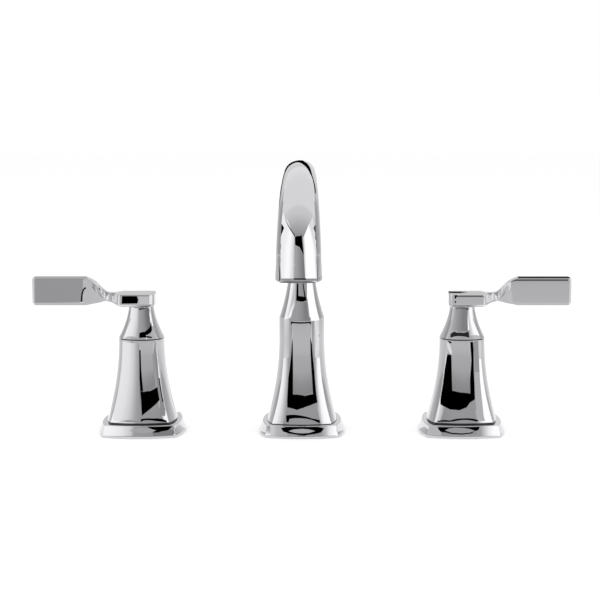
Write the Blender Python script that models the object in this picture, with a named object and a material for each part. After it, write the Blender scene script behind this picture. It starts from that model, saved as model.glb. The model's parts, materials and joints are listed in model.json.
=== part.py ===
# Widespread basin faucet: an arched spout between two lever valves, each on its own deck hole.
# Metres, +Z up. The deck plane is at Z zero, the spout stands on the origin, the user is at -Y.

import math

import bmesh
import bpy
from mathutils import Vector

for old in list(bpy.data.objects):
    bpy.data.objects.remove(old, do_unlink=True)

# Layout and fits
VALVE_OFFSET = 0.1016
TOUCH_GAP = 0.0003
RUNNING_GAP = 0.0003
CUT_OVERRUN = 0.002
MERGE_GAP = 0.00003
DECK_ALLOWANCE = 0.020

# Points on each side of a bowed square; a full ring has four times as many, and a bore half of that
SIDE_STEPS = 6
RING_STEPS = 4 * SIDE_STEPS
BORE_STEPS = RING_STEPS // 2
SMALL_STEPS = 12
VALVE_STEPS = 18
BAR_STEPS = 14
HEXAGON_STEPS = 24
BAR_EDGE_STEPS = 2
CORD_STEPS = 6
SHARP_ANGLE_DEGREES = 32.0
FULL_TURN = 2.0 * math.pi
QUARTER_TURN = 0.5 * math.pi
SIXTH_TURN = math.pi / 3.0

# Square bases with bowed sides
BASE_WIDTH = 0.0551
BASE_TOP_WIDTH = 0.0498
BASE_HEIGHT = 0.0078
BASE_EDGE_HEIGHT = 0.0016
BASE_RIM = 0.0030
BASE_RECESS = 0.0024
BASE_HOLE = 0.0240
BASE_BOW_SHARE = 0.194
BASE_TOP_BOW_SHARE = 0.142
BASE_FACE_POWER = 0.85
BASE_RINGS = 3

# Flared bodies
BODY_BOTTOM_WIDTH = 0.0444
BODY_TOP_WIDTH = 0.0285
BODY_BOW_SHARE = 0.288
FOOT_BOW_SHARE = 0.195
BODY_WALL = 0.0025
SEAM_HEIGHT = 0.0600
FLARE_POWER = 2.0
BODY_RINGS = 7
ROOM_RINGS = 3

# Valve body, from below the deck to inside the flared body
VALVE_DIAMETER = 0.0220
VALVE_TOP_DROP = 0.0220
VALVE_TOP = SEAM_HEIGHT - VALVE_TOP_DROP
VALVE_BOTTOM = -0.0550
CARTRIDGE_BORE = 0.0186
CARTRIDGE_DEPTH = 0.0260
CARTRIDGE_FLOOR = VALVE_TOP - CARTRIDGE_DEPTH
INLET_BORE = 0.0090
OUTLET_PIPE = 0.0120
OUTLET_BORE = 0.0080
OUTLET_REACH = 0.0280
OUTLET_HEIGHT = -0.0420
THREAD_RING_DROP = 0.0040
THREAD_RING_HEIGHT = 0.0120
THREAD_RING_TOP = VALVE_TOP - THREAD_RING_DROP
THREAD_RING_BOTTOM = THREAD_RING_TOP - THREAD_RING_HEIGHT
BODY_ROOM = 0.0240
BODY_ROOF = 0.0025
BODY_ROOF_RECESS = 0.0005

# Ceramic cartridge
HOUSING_FLANGE_DIAMETER = 0.0212
HOUSING_FLANGE_HEIGHT = 0.0032
HOUSING_CAP_DIAMETER = 0.0160
HOUSING_CAP_DROP = 0.0140
HOUSING_CAP_TOP = SEAM_HEIGHT - HOUSING_CAP_DROP
HOUSING_NECK_DIAMETER = 0.0112
HOUSING_NECK_DROP = 0.0028
HOUSING_NECK_TOP = SEAM_HEIGHT - HOUSING_NECK_DROP
HOUSING_WALL = 0.0010
SEAT_SEAL_HEIGHT = 0.0022
SEAT_SEAL_BORE = 0.0110
DISC_HEIGHT = 0.0032
DISC_PORT = 0.0042
DISC_PORT_OFFSET = 0.0042

# Stem, its seal and its clip
STEM_DIAMETER = 0.0072
STEM_FLANGE_HEIGHT = 0.0032
STEM_TOP_DROP = 0.0057
SPLINE_DIAMETER = 0.0050
SPLINE_RISE = 0.0023
SPLINE_START = HOUSING_NECK_TOP + SPLINE_RISE
SEAL_CORD = 0.0011
SEAL_DROP = 0.0040
SEAL_HEIGHT = HOUSING_CAP_TOP - SEAL_DROP
SEAL_GROOVE_DEPTH = 0.0014
CLIP_HEIGHT = 0.0008
CLIP_DIAMETER = 0.0100
CLIP_GROOVE_DEPTH = 0.0008
CLIP_OPENING_DEGREES = 70.0
CLIP_STEPS = 10

# Turning skirt over each body
SEAM_GAP = 0.0006
SKIRT_HEIGHT = 0.0196
SKIRT_TOP_WIDTH = 0.0158
SKIRT_WALL = 0.0024
SKIRT_BORE = 0.0106
SKIRT_CURVE_POWER = 1.62
SKIRT_RINGS = 6
SKIRT_ROOM_SHARE = 0.571
SKIRT_ROOM_RINGS = 4
SET_SCREW_DIAMETER = 0.0026
SET_SCREW_LENGTH = 0.0018
SET_SCREW_DROP = 0.0050
GLIDE_RING_HEIGHT = 0.0005

# Lever: flat hub, narrow waist, quarter twist, upright blade
HUB_INNER = 0.0090
HUB_OUTER = 0.0120
HUB_DEPTH = 0.0190
HUB_HEIGHT = 0.0085
HUB_CORNER = 0.0016
WAIST_DISTANCE = 0.0185
WAIST_DEPTH = 0.0078
WAIST_HEIGHT = 0.0064
BLADE_START = 0.0352
LEVER_REACH = 0.0687
BLADE_HEIGHT = 0.0184
BLADE_THICKNESS = 0.0056
BLADE_CORNER = 0.0024
BLADE_RISE = 0.0051
LEVER_EDGE = 0.0014
LEVER_TWIST_DEGREES = -90.0
CORNER_STEPS = 3
WAIST_STEPS = 4
TWIST_STEPS = 8
WAIST_RISE_SHARE = 0.24
WAIST_TWIST_SHARE = 0.10
TWIST_SPEED_SHARE = 1.35
BLADE_EASE_SHARE = 0.50
BOSS_DIAMETER = 0.0100
BOSS_BORE = 0.0080
BOSS_ROOF = 0.0035
BOSS_CLEARANCE = 0.0031
INSERT_HEIGHT = 0.0130

# Spout: body, shoulder, drawn neck, arch and square outlet
SHOULDER_RISE = 0.0132
SHOULDER_HEIGHT = SEAM_HEIGHT + SHOULDER_RISE
NECK_TOP = 0.1220
NECK_CURVE_POWER = 2.3
NECK_RINGS = 6
SPOUT_REACH = 0.1200
ARCH_RISE = 0.0459
ARCH_RINGS = 16
WATERWAY_RINGS = 8
OUTLET_WIDTH = 0.0264
OUTLET_DEPTH = 0.0236
OUTLET_EDGE = 0.0015
OUTLET_EDGE_STEPS = 3
WATERWAY = 0.0084
SOCKET_DROP = 0.0150
SOCKET_DEPTH = 0.0170
SOCKET_TOP = SEAM_HEIGHT - SOCKET_DROP
SOCKET_START = SOCKET_TOP - SOCKET_DEPTH

# How the arch's section grows from neck to outlet: place along the arch,
# half width and half depth as shares of the outlet's, and bow
ARCH_SECTION_SHARES = (
    (0.00, 0.530, 0.593, 0.330),
    (0.25, 0.550, 0.545, 0.380),
    (0.50, 0.645, 0.525, 0.402),
    (0.65, 0.755, 0.580, 0.387),
    (0.75, 0.832, 0.670, 0.350),
    (0.90, 0.918, 0.820, 0.270),
    (1.00, 0.955, 0.900, 0.240),
)
OUTLET_BOW_SHARE = 0.230

# Shank and supply tee under the spout
SHANK_DIAMETER = 0.0205
SHANK_BORE = 0.0120
SHANK_BOTTOM = -0.0600
SHANK_SEAL_HEIGHT = 0.0016
TEE_DIAMETER = 0.0270
TEE_HEIGHT = 0.0260
TEE_GRIP = 0.0100
TEE_SEAL_HEIGHT = 0.0016
TEE_FLOOR = 0.0030
TEE_REACH = 0.0300

# Clamping stack under the deck
DECK_WASHER_DIAMETER = 0.0420
DECK_WASHER_HEIGHT = 0.0030
BACKING_WASHER_HEIGHT = 0.0012
NUT_ACROSS_FLATS = 0.0320
NUT_HEIGHT = 0.0080

# Aerator in the outlet
AERATOR_DIAMETER = 0.0202
AERATOR_HEIGHT = 0.0080
AERATOR_WALL = 0.0014
AERATOR_SETBACK = 0.0006
AERATOR_LIP = 0.0012
STRAIGHTENER_HEIGHT = 0.0032
STRAIGHTENER_HOLE = 0.0030
STRAIGHTENER_HOLE_CIRCLE = 0.0100
STRAIGHTENER_HOLES = 6
STRAIGHTENER_HOLE_STEPS = 8
SCREEN_HEIGHT = 0.0005
SCREEN_BORE = 0.0060
AERATOR_WASHER_HEIGHT = 0.0016
MOUTH_ROOF = 0.0022
MOUTH_CEILING = NECK_TOP - MOUTH_ROOF
SPOUT_OUTLET_HEIGHT = (MOUTH_CEILING - AERATOR_SETBACK - AERATOR_HEIGHT - AERATOR_WASHER_HEIGHT
                       - 2.0 * TOUCH_GAP)

# Colours and finishes
FINISHES = {
    "polished_chrome": ((0.80, 0.80, 0.81), 0.06, 1.0),
    "cast_brass": ((0.72, 0.52, 0.24), 0.32, 1.0),
    "black_rubber": ((0.03, 0.03, 0.03), 0.75, 0.0),
    "alumina_ceramic": ((0.86, 0.84, 0.78), 0.25, 0.0),
    "stainless_steel": ((0.60, 0.60, 0.61), 0.30, 1.0),
    "white_acetal": ((0.86, 0.86, 0.84), 0.45, 0.0),
    "black_acetal": ((0.04, 0.04, 0.045), 0.40, 0.0),
    "grey_nylon": ((0.42, 0.43, 0.45), 0.50, 0.0),
}


# Finishes and objects

def finish(name):
    found = bpy.data.materials.get(name)
    if found:
        return found
    colour, roughness, metallic = FINISHES[name]
    made = bpy.data.materials.new(name)
    made.use_nodes = True
    shader = made.node_tree.nodes["Principled BSDF"]
    shader.inputs["Base Color"].default_value = (*colour, 1.0)
    shader.inputs["Roughness"].default_value = roughness
    shader.inputs["Metallic"].default_value = metallic
    made.diffuse_color = (*colour, 1.0)
    return made


def empty(name, place, parent=None):
    marker = bpy.data.objects.new(name, None)
    marker.location = place
    marker.parent = parent
    bpy.context.scene.collection.objects.link(marker)
    return marker


def piece(name, bm, finish_name, parent, place=(0.0, 0.0, 0.0)):
    bmesh.ops.recalc_face_normals(bm, faces=bm.faces[:])
    mesh = bpy.data.meshes.new(name)
    bm.to_mesh(mesh)
    bm.free()
    mesh.materials.append(finish(finish_name))
    made = bpy.data.objects.new(name, mesh)
    made.parent = parent
    made.location = place
    bpy.context.scene.collection.objects.link(made)
    mesh.shade_smooth()
    mesh.set_sharp_from_angle(angle=math.radians(SHARP_ANGLE_DEGREES))
    return made


def boolean(target, other, operation):
    other.hide_render = True
    other.display_type = "WIRE"
    step = target.modifiers.new(other.name, "BOOLEAN")
    step.operation = operation
    step.object = other


# Outlines, each a ring of points counted from the front right corner

def bowed_square(half_width, half_depth, bow_share, side_steps=SIDE_STEPS):
    chord = 1.0 / (1.0 + bow_share)
    rise = 1.0 - chord
    radius = (chord * chord + rise * rise) / (2.0 * rise)
    reach = math.asin(chord / radius)
    points = []
    for side in range(4):
        turn = QUARTER_TURN * side
        for step in range(side_steps):
            angle = -reach + 2.0 * reach * step / side_steps
            out = 1.0 - radius + radius * math.cos(angle)
            along = radius * math.sin(angle)
            x = out * math.cos(turn) - along * math.sin(turn)
            y = out * math.sin(turn) + along * math.cos(turn)
            points.append((half_width * x, half_depth * y))
    return points


def round_outline(diameter, steps=RING_STEPS):
    points = []
    for step in range(steps):
        angle = -0.5 * QUARTER_TURN + FULL_TURN * step / steps
        points.append((0.5 * diameter * math.cos(angle), 0.5 * diameter * math.sin(angle)))
    return points


def bore_diameter(diameter, steps=BORE_STEPS):
    # Wide enough at the flats of the faceted hole.
    return diameter / math.cos(math.pi / steps)


def bore_outline(diameter, steps=BORE_STEPS):
    return round_outline(bore_diameter(diameter, steps), steps)


def hexagon_outline(across_flats):
    points = []
    for step in range(HEXAGON_STEPS):
        angle = -0.5 * QUARTER_TURN + FULL_TURN * step / HEXAGON_STEPS
        within = math.fmod(angle + FULL_TURN, SIXTH_TURN) - 0.5 * SIXTH_TURN
        radius = 0.5 * across_flats / math.cos(within)
        points.append((radius * math.cos(angle), radius * math.sin(angle)))
    return points


def rounded_bar(half_wide, half_thin, edge):
    points = []
    for quarter in range(4):
        wide_sign = (1.0, -1.0, -1.0, 1.0)[quarter]
        thin_sign = (1.0, 1.0, -1.0, -1.0)[quarter]
        for step in range(BAR_EDGE_STEPS + 1):
            angle = QUARTER_TURN * (quarter + step / BAR_EDGE_STEPS)
            wide = wide_sign * (half_wide - edge) + edge * math.cos(angle)
            thin = thin_sign * (half_thin - edge) + edge * math.sin(angle)
            points.append((wide, thin))
    return points


def level(outline, height):
    return [Vector((x, y, height)) for x, y in outline]


# Solids

def skin(bm, first, second):
    # Rings of one count make quads; a ring of half the count is met at every second point.
    if len(first) < len(second):
        first, second = second, first
    step = len(first) // len(second)
    for i in range(len(second)):
        run = [first[(step * i + k) % len(first)] for k in range(step + 1)]
        bm.faces.new((*run, second[(i + 1) % len(second)], second[i]))


def loft(rings, closed=False):
    bm = bmesh.new()
    loops = [[bm.verts.new(point) for point in ring] for ring in rings]
    pairs = list(zip(loops, loops[1:]))
    if closed:
        pairs.append((loops[-1], loops[0]))
    for lower, upper in pairs:
        skin(bm, lower, upper)
    if not closed:
        bm.faces.new(loops[0])
        bm.faces.new(loops[-1])
    return bm


def turned(profile, steps=RING_STEPS):
    # The profile is a closed run of (radius, height); on the axis it closes itself.
    bm = bmesh.new()
    verts = [bm.verts.new((radius, 0.0, height)) for radius, height in profile]
    edges = [bm.edges.new(pair) for pair in zip(verts, verts[1:])]
    if profile[0][0] > 0.0:
        edges.append(bm.edges.new((verts[-1], verts[0])))
    bmesh.ops.spin(bm, geom=verts + edges, axis=(0.0, 0.0, 1.0), cent=(0.0, 0.0, 0.0),
                   angle=FULL_TURN, steps=steps, use_merge=True)
    bmesh.ops.remove_doubles(bm, verts=bm.verts[:], dist=MERGE_GAP)
    return bm


def ring_solid(outer, inner, bottom, top):
    return loft([level(outer, bottom), level(outer, top), level(inner, top), level(inner, bottom)],
                closed=True)


def washer(outer_diameter, bore, bottom, top, steps=RING_STEPS):
    return ring_solid(round_outline(outer_diameter, steps), bore_outline(bore), bottom, top)


def bar_between(diameter, start, end, steps=BAR_STEPS):
    # A round bar along any direction, from one point to the other.
    start = Vector(start)
    end = Vector(end)
    spin = (end - start).to_track_quat("Z", "Y")
    rings = []
    for place in (start, end):
        rings.append([place + spin @ Vector((x, y, 0.0)) for x, y in round_outline(diameter, steps)])
    return loft(rings)


def ease(share):
    return share * share * (3.0 - 2.0 * share)


def mix(first, second, share):
    return first + (second - first) * share


# Flared body, shared by the valves and the spout

BODY_BOTTOM = BASE_HEIGHT + TOUCH_GAP


def body_flare(height):
    drop = max(0.0, (SEAM_HEIGHT - height) / (SEAM_HEIGHT - BODY_BOTTOM))
    return drop ** FLARE_POWER


def body_half_width(height):
    return 0.5 * mix(BODY_TOP_WIDTH, BODY_BOTTOM_WIDTH, body_flare(height))


def body_bow(height):
    return mix(BODY_BOW_SHARE, FOOT_BOW_SHARE, body_flare(height))


def body_ring(height):
    half = body_half_width(height)
    return level(bowed_square(half, half, body_bow(height)), height)


def body_room_ring(height):
    half = body_half_width(height) - BODY_WALL
    return level(bowed_square(half, half, body_bow(height), SIDE_STEPS // 2), height)


def body_rings():
    return [body_ring(mix(BODY_BOTTOM, SEAM_HEIGHT, step / BODY_RINGS))
            for step in range(BODY_RINGS + 1)]


# Square base and its gasket

def base(name, parent):
    half = 0.5 * BASE_WIDTH
    top_half = 0.5 * BASE_TOP_WIDTH
    outer = [level(bowed_square(half, half, BASE_BOW_SHARE), TOUCH_GAP)]
    for step in range(BASE_RINGS + 1):
        share = step / BASE_RINGS
        width = mix(half, top_half, share ** BASE_FACE_POWER)
        height = mix(BASE_EDGE_HEIGHT, BASE_HEIGHT, share)
        bow = mix(BASE_BOW_SHARE, BASE_TOP_BOW_SHARE, share)
        outer.append(level(bowed_square(width, width, bow), height))
    recess = half - BASE_RIM
    inner = [
        level(bore_outline(BASE_HOLE), BASE_HEIGHT),
        level(bore_outline(BASE_HOLE), BASE_RECESS + TOUCH_GAP),
        level(bowed_square(recess, recess, BASE_BOW_SHARE, SIDE_STEPS // 2), BASE_RECESS + TOUCH_GAP),
        level(bowed_square(recess, recess, BASE_BOW_SHARE, SIDE_STEPS // 2), TOUCH_GAP),
    ]
    return piece(name, loft(outer + inner, closed=True), "polished_chrome", parent)


def gasket(name, parent):
    half = 0.5 * BASE_WIDTH - BASE_RIM - TOUCH_GAP
    outer = bowed_square(half, half, BASE_BOW_SHARE, SIDE_STEPS // 2)
    return piece(name, ring_solid(outer, bore_outline(BASE_HOLE), 0.0, BASE_RECESS),
                 "black_rubber", parent)


# Clamping stack: rubber washer, steel washer and nut on a threaded shank

def clamp(prefix, shank_diameter, parent):
    bore = shank_diameter + 2.0 * TOUCH_GAP
    washer_bottom = -DECK_ALLOWANCE - DECK_WASHER_HEIGHT
    backing_top = washer_bottom - TOUCH_GAP
    backing_bottom = backing_top - BACKING_WASHER_HEIGHT
    nut_top = backing_bottom - TOUCH_GAP
    piece(prefix + "_deck_washer", washer(DECK_WASHER_DIAMETER, bore, washer_bottom, -DECK_ALLOWANCE),
          "black_rubber", parent)
    piece(prefix + "_backing_washer", washer(DECK_WASHER_DIAMETER, bore, backing_bottom, backing_top),
          "stainless_steel", parent)
    piece(prefix + "_mounting_nut", ring_solid(hexagon_outline(NUT_ACROSS_FLATS),
                                               bore_outline(bore),
                                               nut_top - NUT_HEIGHT, nut_top),
          "cast_brass", parent)


# Fixed pieces of one valve

def valve_shell(name, parent):
    outer = body_rings()
    roof_top = SEAM_HEIGHT - BODY_ROOF_RECESS
    roof_bottom = roof_top - BODY_ROOF
    ledge = bore_outline(VALVE_DIAMETER + 2.0 * TOUCH_GAP)
    room = bore_outline(BODY_ROOM)
    hole = bore_outline(HOUSING_NECK_DIAMETER + 2.0 * TOUCH_GAP)
    rim = bore_outline(glide_ring_diameter() + 2.0 * TOUCH_GAP)
    inner = [
        level(rim, SEAM_HEIGHT),
        level(rim, roof_top),
        level(hole, roof_top),
        level(hole, roof_bottom),
        level(room, roof_bottom),
        level(room, THREAD_RING_TOP),
        level(ledge, THREAD_RING_TOP),
        level(ledge, THREAD_RING_BOTTOM),
    ]
    for step in range(ROOM_RINGS + 1):
        inner.append(body_room_ring(mix(THREAD_RING_BOTTOM, BODY_BOTTOM, step / ROOM_RINGS)))
    return piece(name, loft(outer + inner, closed=True), "polished_chrome", parent)


def valve_body(name, side, parent):
    outer = 0.5 * VALVE_DIAMETER
    bore = 0.5 * bore_diameter(CARTRIDGE_BORE, VALVE_STEPS)
    inlet = 0.5 * INLET_BORE
    made = piece(name, turned([
        (outer, VALVE_TOP),
        (bore, VALVE_TOP),
        (bore, CARTRIDGE_FLOOR),
        (inlet, CARTRIDGE_FLOOR),
        (inlet, VALVE_BOTTOM),
        (outer, VALVE_BOTTOM),
    ], VALVE_STEPS), "cast_brass", parent)
    toward_spout = -side
    start = (toward_spout * (inlet + outer) * 0.5, 0.0, OUTLET_HEIGHT)
    end = (toward_spout * OUTLET_REACH, 0.0, OUTLET_HEIGHT)
    pipe = piece(name + "_outlet_stub", bar_between(OUTLET_PIPE, start, end), "cast_brass", parent)
    boolean(made, pipe, "UNION")
    drill_end = (toward_spout * (OUTLET_REACH + CUT_OVERRUN), 0.0, OUTLET_HEIGHT)
    drill = piece(name + "_outlet_drill", bar_between(OUTLET_BORE, (0.0, 0.0, OUTLET_HEIGHT), drill_end),
                  "cast_brass", parent)
    boolean(made, drill, "DIFFERENCE")
    return made


def cartridge_levels():
    # Heights of the stack in the cartridge, from the seal up.
    seal_bottom = CARTRIDGE_FLOOR + TOUCH_GAP
    seal_top = seal_bottom + SEAT_SEAL_HEIGHT
    fixed_bottom = seal_top + TOUCH_GAP
    fixed_top = fixed_bottom + DISC_HEIGHT
    turning_bottom = fixed_top + TOUCH_GAP
    turning_top = turning_bottom + DISC_HEIGHT
    flange_bottom = turning_top + TOUCH_GAP
    flange_top = flange_bottom + STEM_FLANGE_HEIGHT
    return {
        "seal": (seal_bottom, seal_top),
        "fixed_disc": (fixed_bottom, fixed_top),
        "turning_disc": (turning_bottom, turning_top),
        "flange": (flange_bottom, flange_top),
    }


def housing_diameter():
    return CARTRIDGE_BORE - 2.0 * TOUCH_GAP


def disc_room():
    return housing_diameter() - 2.0 * HOUSING_WALL


def disc_diameter():
    return disc_room() - 2.0 * RUNNING_GAP


def cartridge_housing(name, parent):
    outer = 0.5 * housing_diameter()
    flange = 0.5 * HOUSING_FLANGE_DIAMETER
    cap = 0.5 * HOUSING_CAP_DIAMETER
    neck = 0.5 * HOUSING_NECK_DIAMETER
    room = 0.5 * bore_diameter(disc_room(), SMALL_STEPS)
    bore = 0.5 * bore_diameter(STEM_DIAMETER + 2.0 * RUNNING_GAP, SMALL_STEPS)
    flange_bottom = VALVE_TOP + TOUCH_GAP
    flange_top = flange_bottom + HOUSING_FLANGE_HEIGHT
    room_top = cartridge_levels()["flange"][1] + RUNNING_GAP
    return piece(name, turned([
        (neck, HOUSING_NECK_TOP),
        (bore, HOUSING_NECK_TOP),
        (bore, room_top),
        (room, room_top),
        (room, CARTRIDGE_FLOOR + TOUCH_GAP),
        (outer, CARTRIDGE_FLOOR + TOUCH_GAP),
        (outer, flange_bottom),
        (flange, flange_bottom),
        (flange, flange_top),
        (cap, flange_top),
        (cap, HOUSING_CAP_TOP),
        (neck, HOUSING_CAP_TOP),
    ], SMALL_STEPS), "cast_brass", parent)


def seat_seal(name, parent):
    bottom, top = cartridge_levels()["seal"]
    return piece(name, washer(disc_diameter(), SEAT_SEAL_BORE, bottom, top, SMALL_STEPS),
                 "black_rubber", parent)


def ceramic_disc(name, level_name, diameter, parent):
    bottom, top = cartridge_levels()[level_name]
    rim = round_outline(diameter, SMALL_STEPS)
    made = piece(name, loft([level(rim, bottom), level(rim, top)]), "alumina_ceramic", parent)
    for sign in (-1.0, 1.0):
        place = sign * DISC_PORT_OFFSET
        label = "front" if sign < 0.0 else "back"
        drill = piece(name + "_" + label + "_port",
                      bar_between(DISC_PORT, (0.0, place, bottom - CUT_OVERRUN),
                                  (0.0, place, top + CUT_OVERRUN), SMALL_STEPS),
                      "alumina_ceramic", parent)
        boolean(made, drill, "DIFFERENCE")
    return made


def glide_ring_diameter():
    return BODY_TOP_WIDTH - BODY_WALL


def glide_ring(name, parent):
    bottom = SEAM_HEIGHT - BODY_ROOF_RECESS + TOUCH_GAP
    bore = HOUSING_NECK_DIAMETER + 2.0 * (TOUCH_GAP + RUNNING_GAP)
    return piece(name, washer(glide_ring_diameter(), bore, bottom, bottom + GLIDE_RING_HEIGHT),
                 "black_acetal", parent)


# Moving pieces of one valve

def stem(name, parent):
    shaft = 0.5 * STEM_DIAMETER
    spline = 0.5 * SPLINE_DIAMETER
    flange = 0.5 * disc_diameter()
    flange_bottom, flange_top = cartridge_levels()["flange"]
    seal_root = shaft - SEAL_GROOVE_DEPTH
    seal_low = SEAL_HEIGHT - 0.5 * SEAL_CORD - TOUCH_GAP
    seal_high = SEAL_HEIGHT + 0.5 * SEAL_CORD + TOUCH_GAP
    clip_root = shaft - CLIP_GROOVE_DEPTH
    clip_low = HOUSING_NECK_TOP
    clip_high = clip_low + CLIP_HEIGHT + 2.0 * TOUCH_GAP
    stem_top = skirt_top() - STEM_TOP_DROP
    return piece(name, turned([
        (0.0, stem_top),
        (spline, stem_top),
        (spline, SPLINE_START),
        (shaft, SPLINE_START),
        (shaft, clip_high),
        (clip_root, clip_high),
        (clip_root, clip_low),
        (shaft, clip_low),
        (shaft, seal_high),
        (seal_root, seal_high),
        (seal_root, seal_low),
        (shaft, seal_low),
        (shaft, flange_top),
        (flange, flange_top),
        (flange, flange_bottom),
        (0.0, flange_bottom),
    ], SMALL_STEPS), "cast_brass", parent)


def stem_seal(name, parent):
    cord = 0.5 * SEAL_CORD
    centre = 0.5 * STEM_DIAMETER - SEAL_GROOVE_DEPTH + TOUCH_GAP + cord
    profile = []
    for step in range(CORD_STEPS):
        angle = FULL_TURN * step / CORD_STEPS
        profile.append((centre + cord * math.cos(angle), SEAL_HEIGHT + cord * math.sin(angle)))
    return piece(name, turned(profile, SMALL_STEPS), "black_rubber", parent)


def stem_clip(name, parent):
    bottom = HOUSING_NECK_TOP + TOUCH_GAP
    top = bottom + CLIP_HEIGHT
    inner = 0.5 * STEM_DIAMETER - CLIP_GROOVE_DEPTH + TOUCH_GAP
    outer = 0.5 * CLIP_DIAMETER
    half_open = math.radians(0.5 * CLIP_OPENING_DEGREES)
    outline = []
    out_and_back = ((outer, range(CLIP_STEPS + 1)),
                    (bore_diameter(inner, SMALL_STEPS), range(CLIP_STEPS, -1, -1)))
    for radius, order in out_and_back:
        for step in order:
            angle = mix(half_open, FULL_TURN - half_open, step / CLIP_STEPS)
            outline.append((radius * math.cos(angle), radius * math.sin(angle)))
    return piece(name, loft([level(outline, bottom), level(outline, top)]), "stainless_steel", parent)


def skirt_bottom():
    return SEAM_HEIGHT + SEAM_GAP


def skirt_top():
    return skirt_bottom() + SKIRT_HEIGHT


def skirt_half_width(height):
    drop = max(0.0, (skirt_top() - height) / SKIRT_HEIGHT)
    return 0.5 * mix(SKIRT_TOP_WIDTH, BODY_TOP_WIDTH, drop ** SKIRT_CURVE_POWER)


def skirt(name, parent):
    outer = []
    for step in range(SKIRT_RINGS + 1):
        height = mix(skirt_bottom(), skirt_top(), step / SKIRT_RINGS)
        half = skirt_half_width(height)
        outer.append(level(bowed_square(half, half, BODY_BOW_SHARE), height))
    inner = [level(bore_outline(SKIRT_BORE), skirt_top())]
    for step in range(SKIRT_ROOM_RINGS, -1, -1):
        height = mix(skirt_bottom(), skirt_top(), SKIRT_ROOM_SHARE * step / SKIRT_ROOM_RINGS)
        radius = max(skirt_half_width(height) - SKIRT_WALL, 0.5 * SKIRT_BORE)
        inner.append(level(bore_outline(2.0 * radius), height))
    made = piece(name, loft(outer + inner, closed=True), "polished_chrome", parent)
    height = skirt_top() - SET_SCREW_DROP
    hole = piece(name + "_screw_hole",
                 bar_between(SET_SCREW_DIAMETER + 2.0 * TOUCH_GAP,
                             (0.0, 0.5 * BOSS_DIAMETER - CUT_OVERRUN, height),
                             (0.0, skirt_half_width(height) + CUT_OVERRUN, height), SMALL_STEPS),
                 "polished_chrome", parent)
    boolean(made, hole, "DIFFERENCE")
    return made


def set_screw(name, parent):
    height = skirt_top() - SET_SCREW_DROP
    start = 0.5 * BOSS_DIAMETER + TOUCH_GAP
    return piece(name, bar_between(SET_SCREW_DIAMETER, (0.0, start, height),
                                   (0.0, start + SET_SCREW_LENGTH, height), SMALL_STEPS),
                 "stainless_steel", parent)


def lever_stations():
    # Distance from the axis, rise of the centre, half width, half thickness, share of the twist.
    half_hub = 0.5 * HUB_DEPTH
    half_waist = 0.5 * WAIST_DEPTH
    half_blade = 0.5 * BLADE_HEIGHT
    hub_thin = 0.5 * HUB_HEIGHT
    waist_thin = 0.5 * WAIST_HEIGHT
    blade_thin = 0.5 * BLADE_THICKNESS
    stations = []
    for step in range(CORNER_STEPS + 1):
        angle = QUARTER_TURN * step / CORNER_STEPS
        stations.append((-HUB_INNER + HUB_CORNER * (1.0 - math.cos(angle)), 0.0,
                         half_hub - HUB_CORNER * (1.0 - math.sin(angle)), hub_thin, 0.0))
    for step in range(WAIST_STEPS + 1):
        share = step / WAIST_STEPS
        eased = ease(share)
        stations.append((mix(HUB_OUTER, WAIST_DISTANCE, share), BLADE_RISE * WAIST_RISE_SHARE * eased,
                         mix(half_hub, half_waist, eased), mix(hub_thin, waist_thin, eased),
                         WAIST_TWIST_SHARE * share))
    for step in range(1, TWIST_STEPS + 1):
        share = step / TWIST_STEPS
        eased = ease(share)
        twist = mix(WAIST_TWIST_SHARE, 1.0, ease(min(1.0, TWIST_SPEED_SHARE * share)))
        stations.append((mix(WAIST_DISTANCE, BLADE_START, share),
                         BLADE_RISE * mix(WAIST_RISE_SHARE, 1.0, math.sin(QUARTER_TURN * share)),
                         mix(half_waist, half_blade, mix(share, eased, BLADE_EASE_SHARE)),
                         mix(waist_thin, blade_thin, share), twist))
    for step in range(CORNER_STEPS, -1, -1):
        angle = QUARTER_TURN * step / CORNER_STEPS
        stations.append((LEVER_REACH - BLADE_CORNER * (1.0 - math.cos(angle)), BLADE_RISE,
                         half_blade - BLADE_CORNER * (1.0 - math.sin(angle)), blade_thin, 1.0))
    return stations


def hub_bottom():
    return skirt_top() + TOUCH_GAP


def boss_bottom():
    return HOUSING_NECK_TOP + CLIP_HEIGHT + 2.0 * TOUCH_GAP + BOSS_CLEARANCE


def lever(name, side, parent):
    hub_centre = hub_bottom() + 0.5 * HUB_HEIGHT
    rings = []
    for distance, rise, half_wide, half_thin, share in lever_stations():
        roll = math.radians(LEVER_TWIST_DEGREES * share)
        ring = []
        for wide, thin in rounded_bar(half_wide, half_thin, LEVER_EDGE):
            y = wide * math.cos(roll) - thin * math.sin(roll)
            z = wide * math.sin(roll) + thin * math.cos(roll)
            ring.append(Vector((side * distance, y, hub_centre + rise + z)))
        rings.append(ring)
    made = piece(name, loft(rings), "polished_chrome", parent)
    boss = piece(name + "_boss",
                 bar_between(BOSS_DIAMETER, (0.0, 0.0, boss_bottom()), (0.0, 0.0, hub_centre), RING_STEPS),
                 "polished_chrome", parent)
    boolean(made, boss, "UNION")
    drill = piece(name + "_boss_bore",
                  bar_between(bore_diameter(BOSS_BORE, SMALL_STEPS),
                              (0.0, 0.0, boss_bottom() - CUT_OVERRUN),
                              (0.0, 0.0, skirt_top() - BOSS_ROOF), SMALL_STEPS),
                  "polished_chrome", parent)
    boolean(made, drill, "DIFFERENCE")
    return made


def handle_insert(name, parent):
    bottom = boss_bottom() + TOUCH_GAP
    return piece(name, washer(BOSS_BORE - 2.0 * TOUCH_GAP, SPLINE_DIAMETER + 2.0 * TOUCH_GAP,
                              bottom, bottom + INSERT_HEIGHT, SMALL_STEPS),
                 "white_acetal", parent)


# One whole valve; side is -1 for the left and 1 for the right

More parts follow.
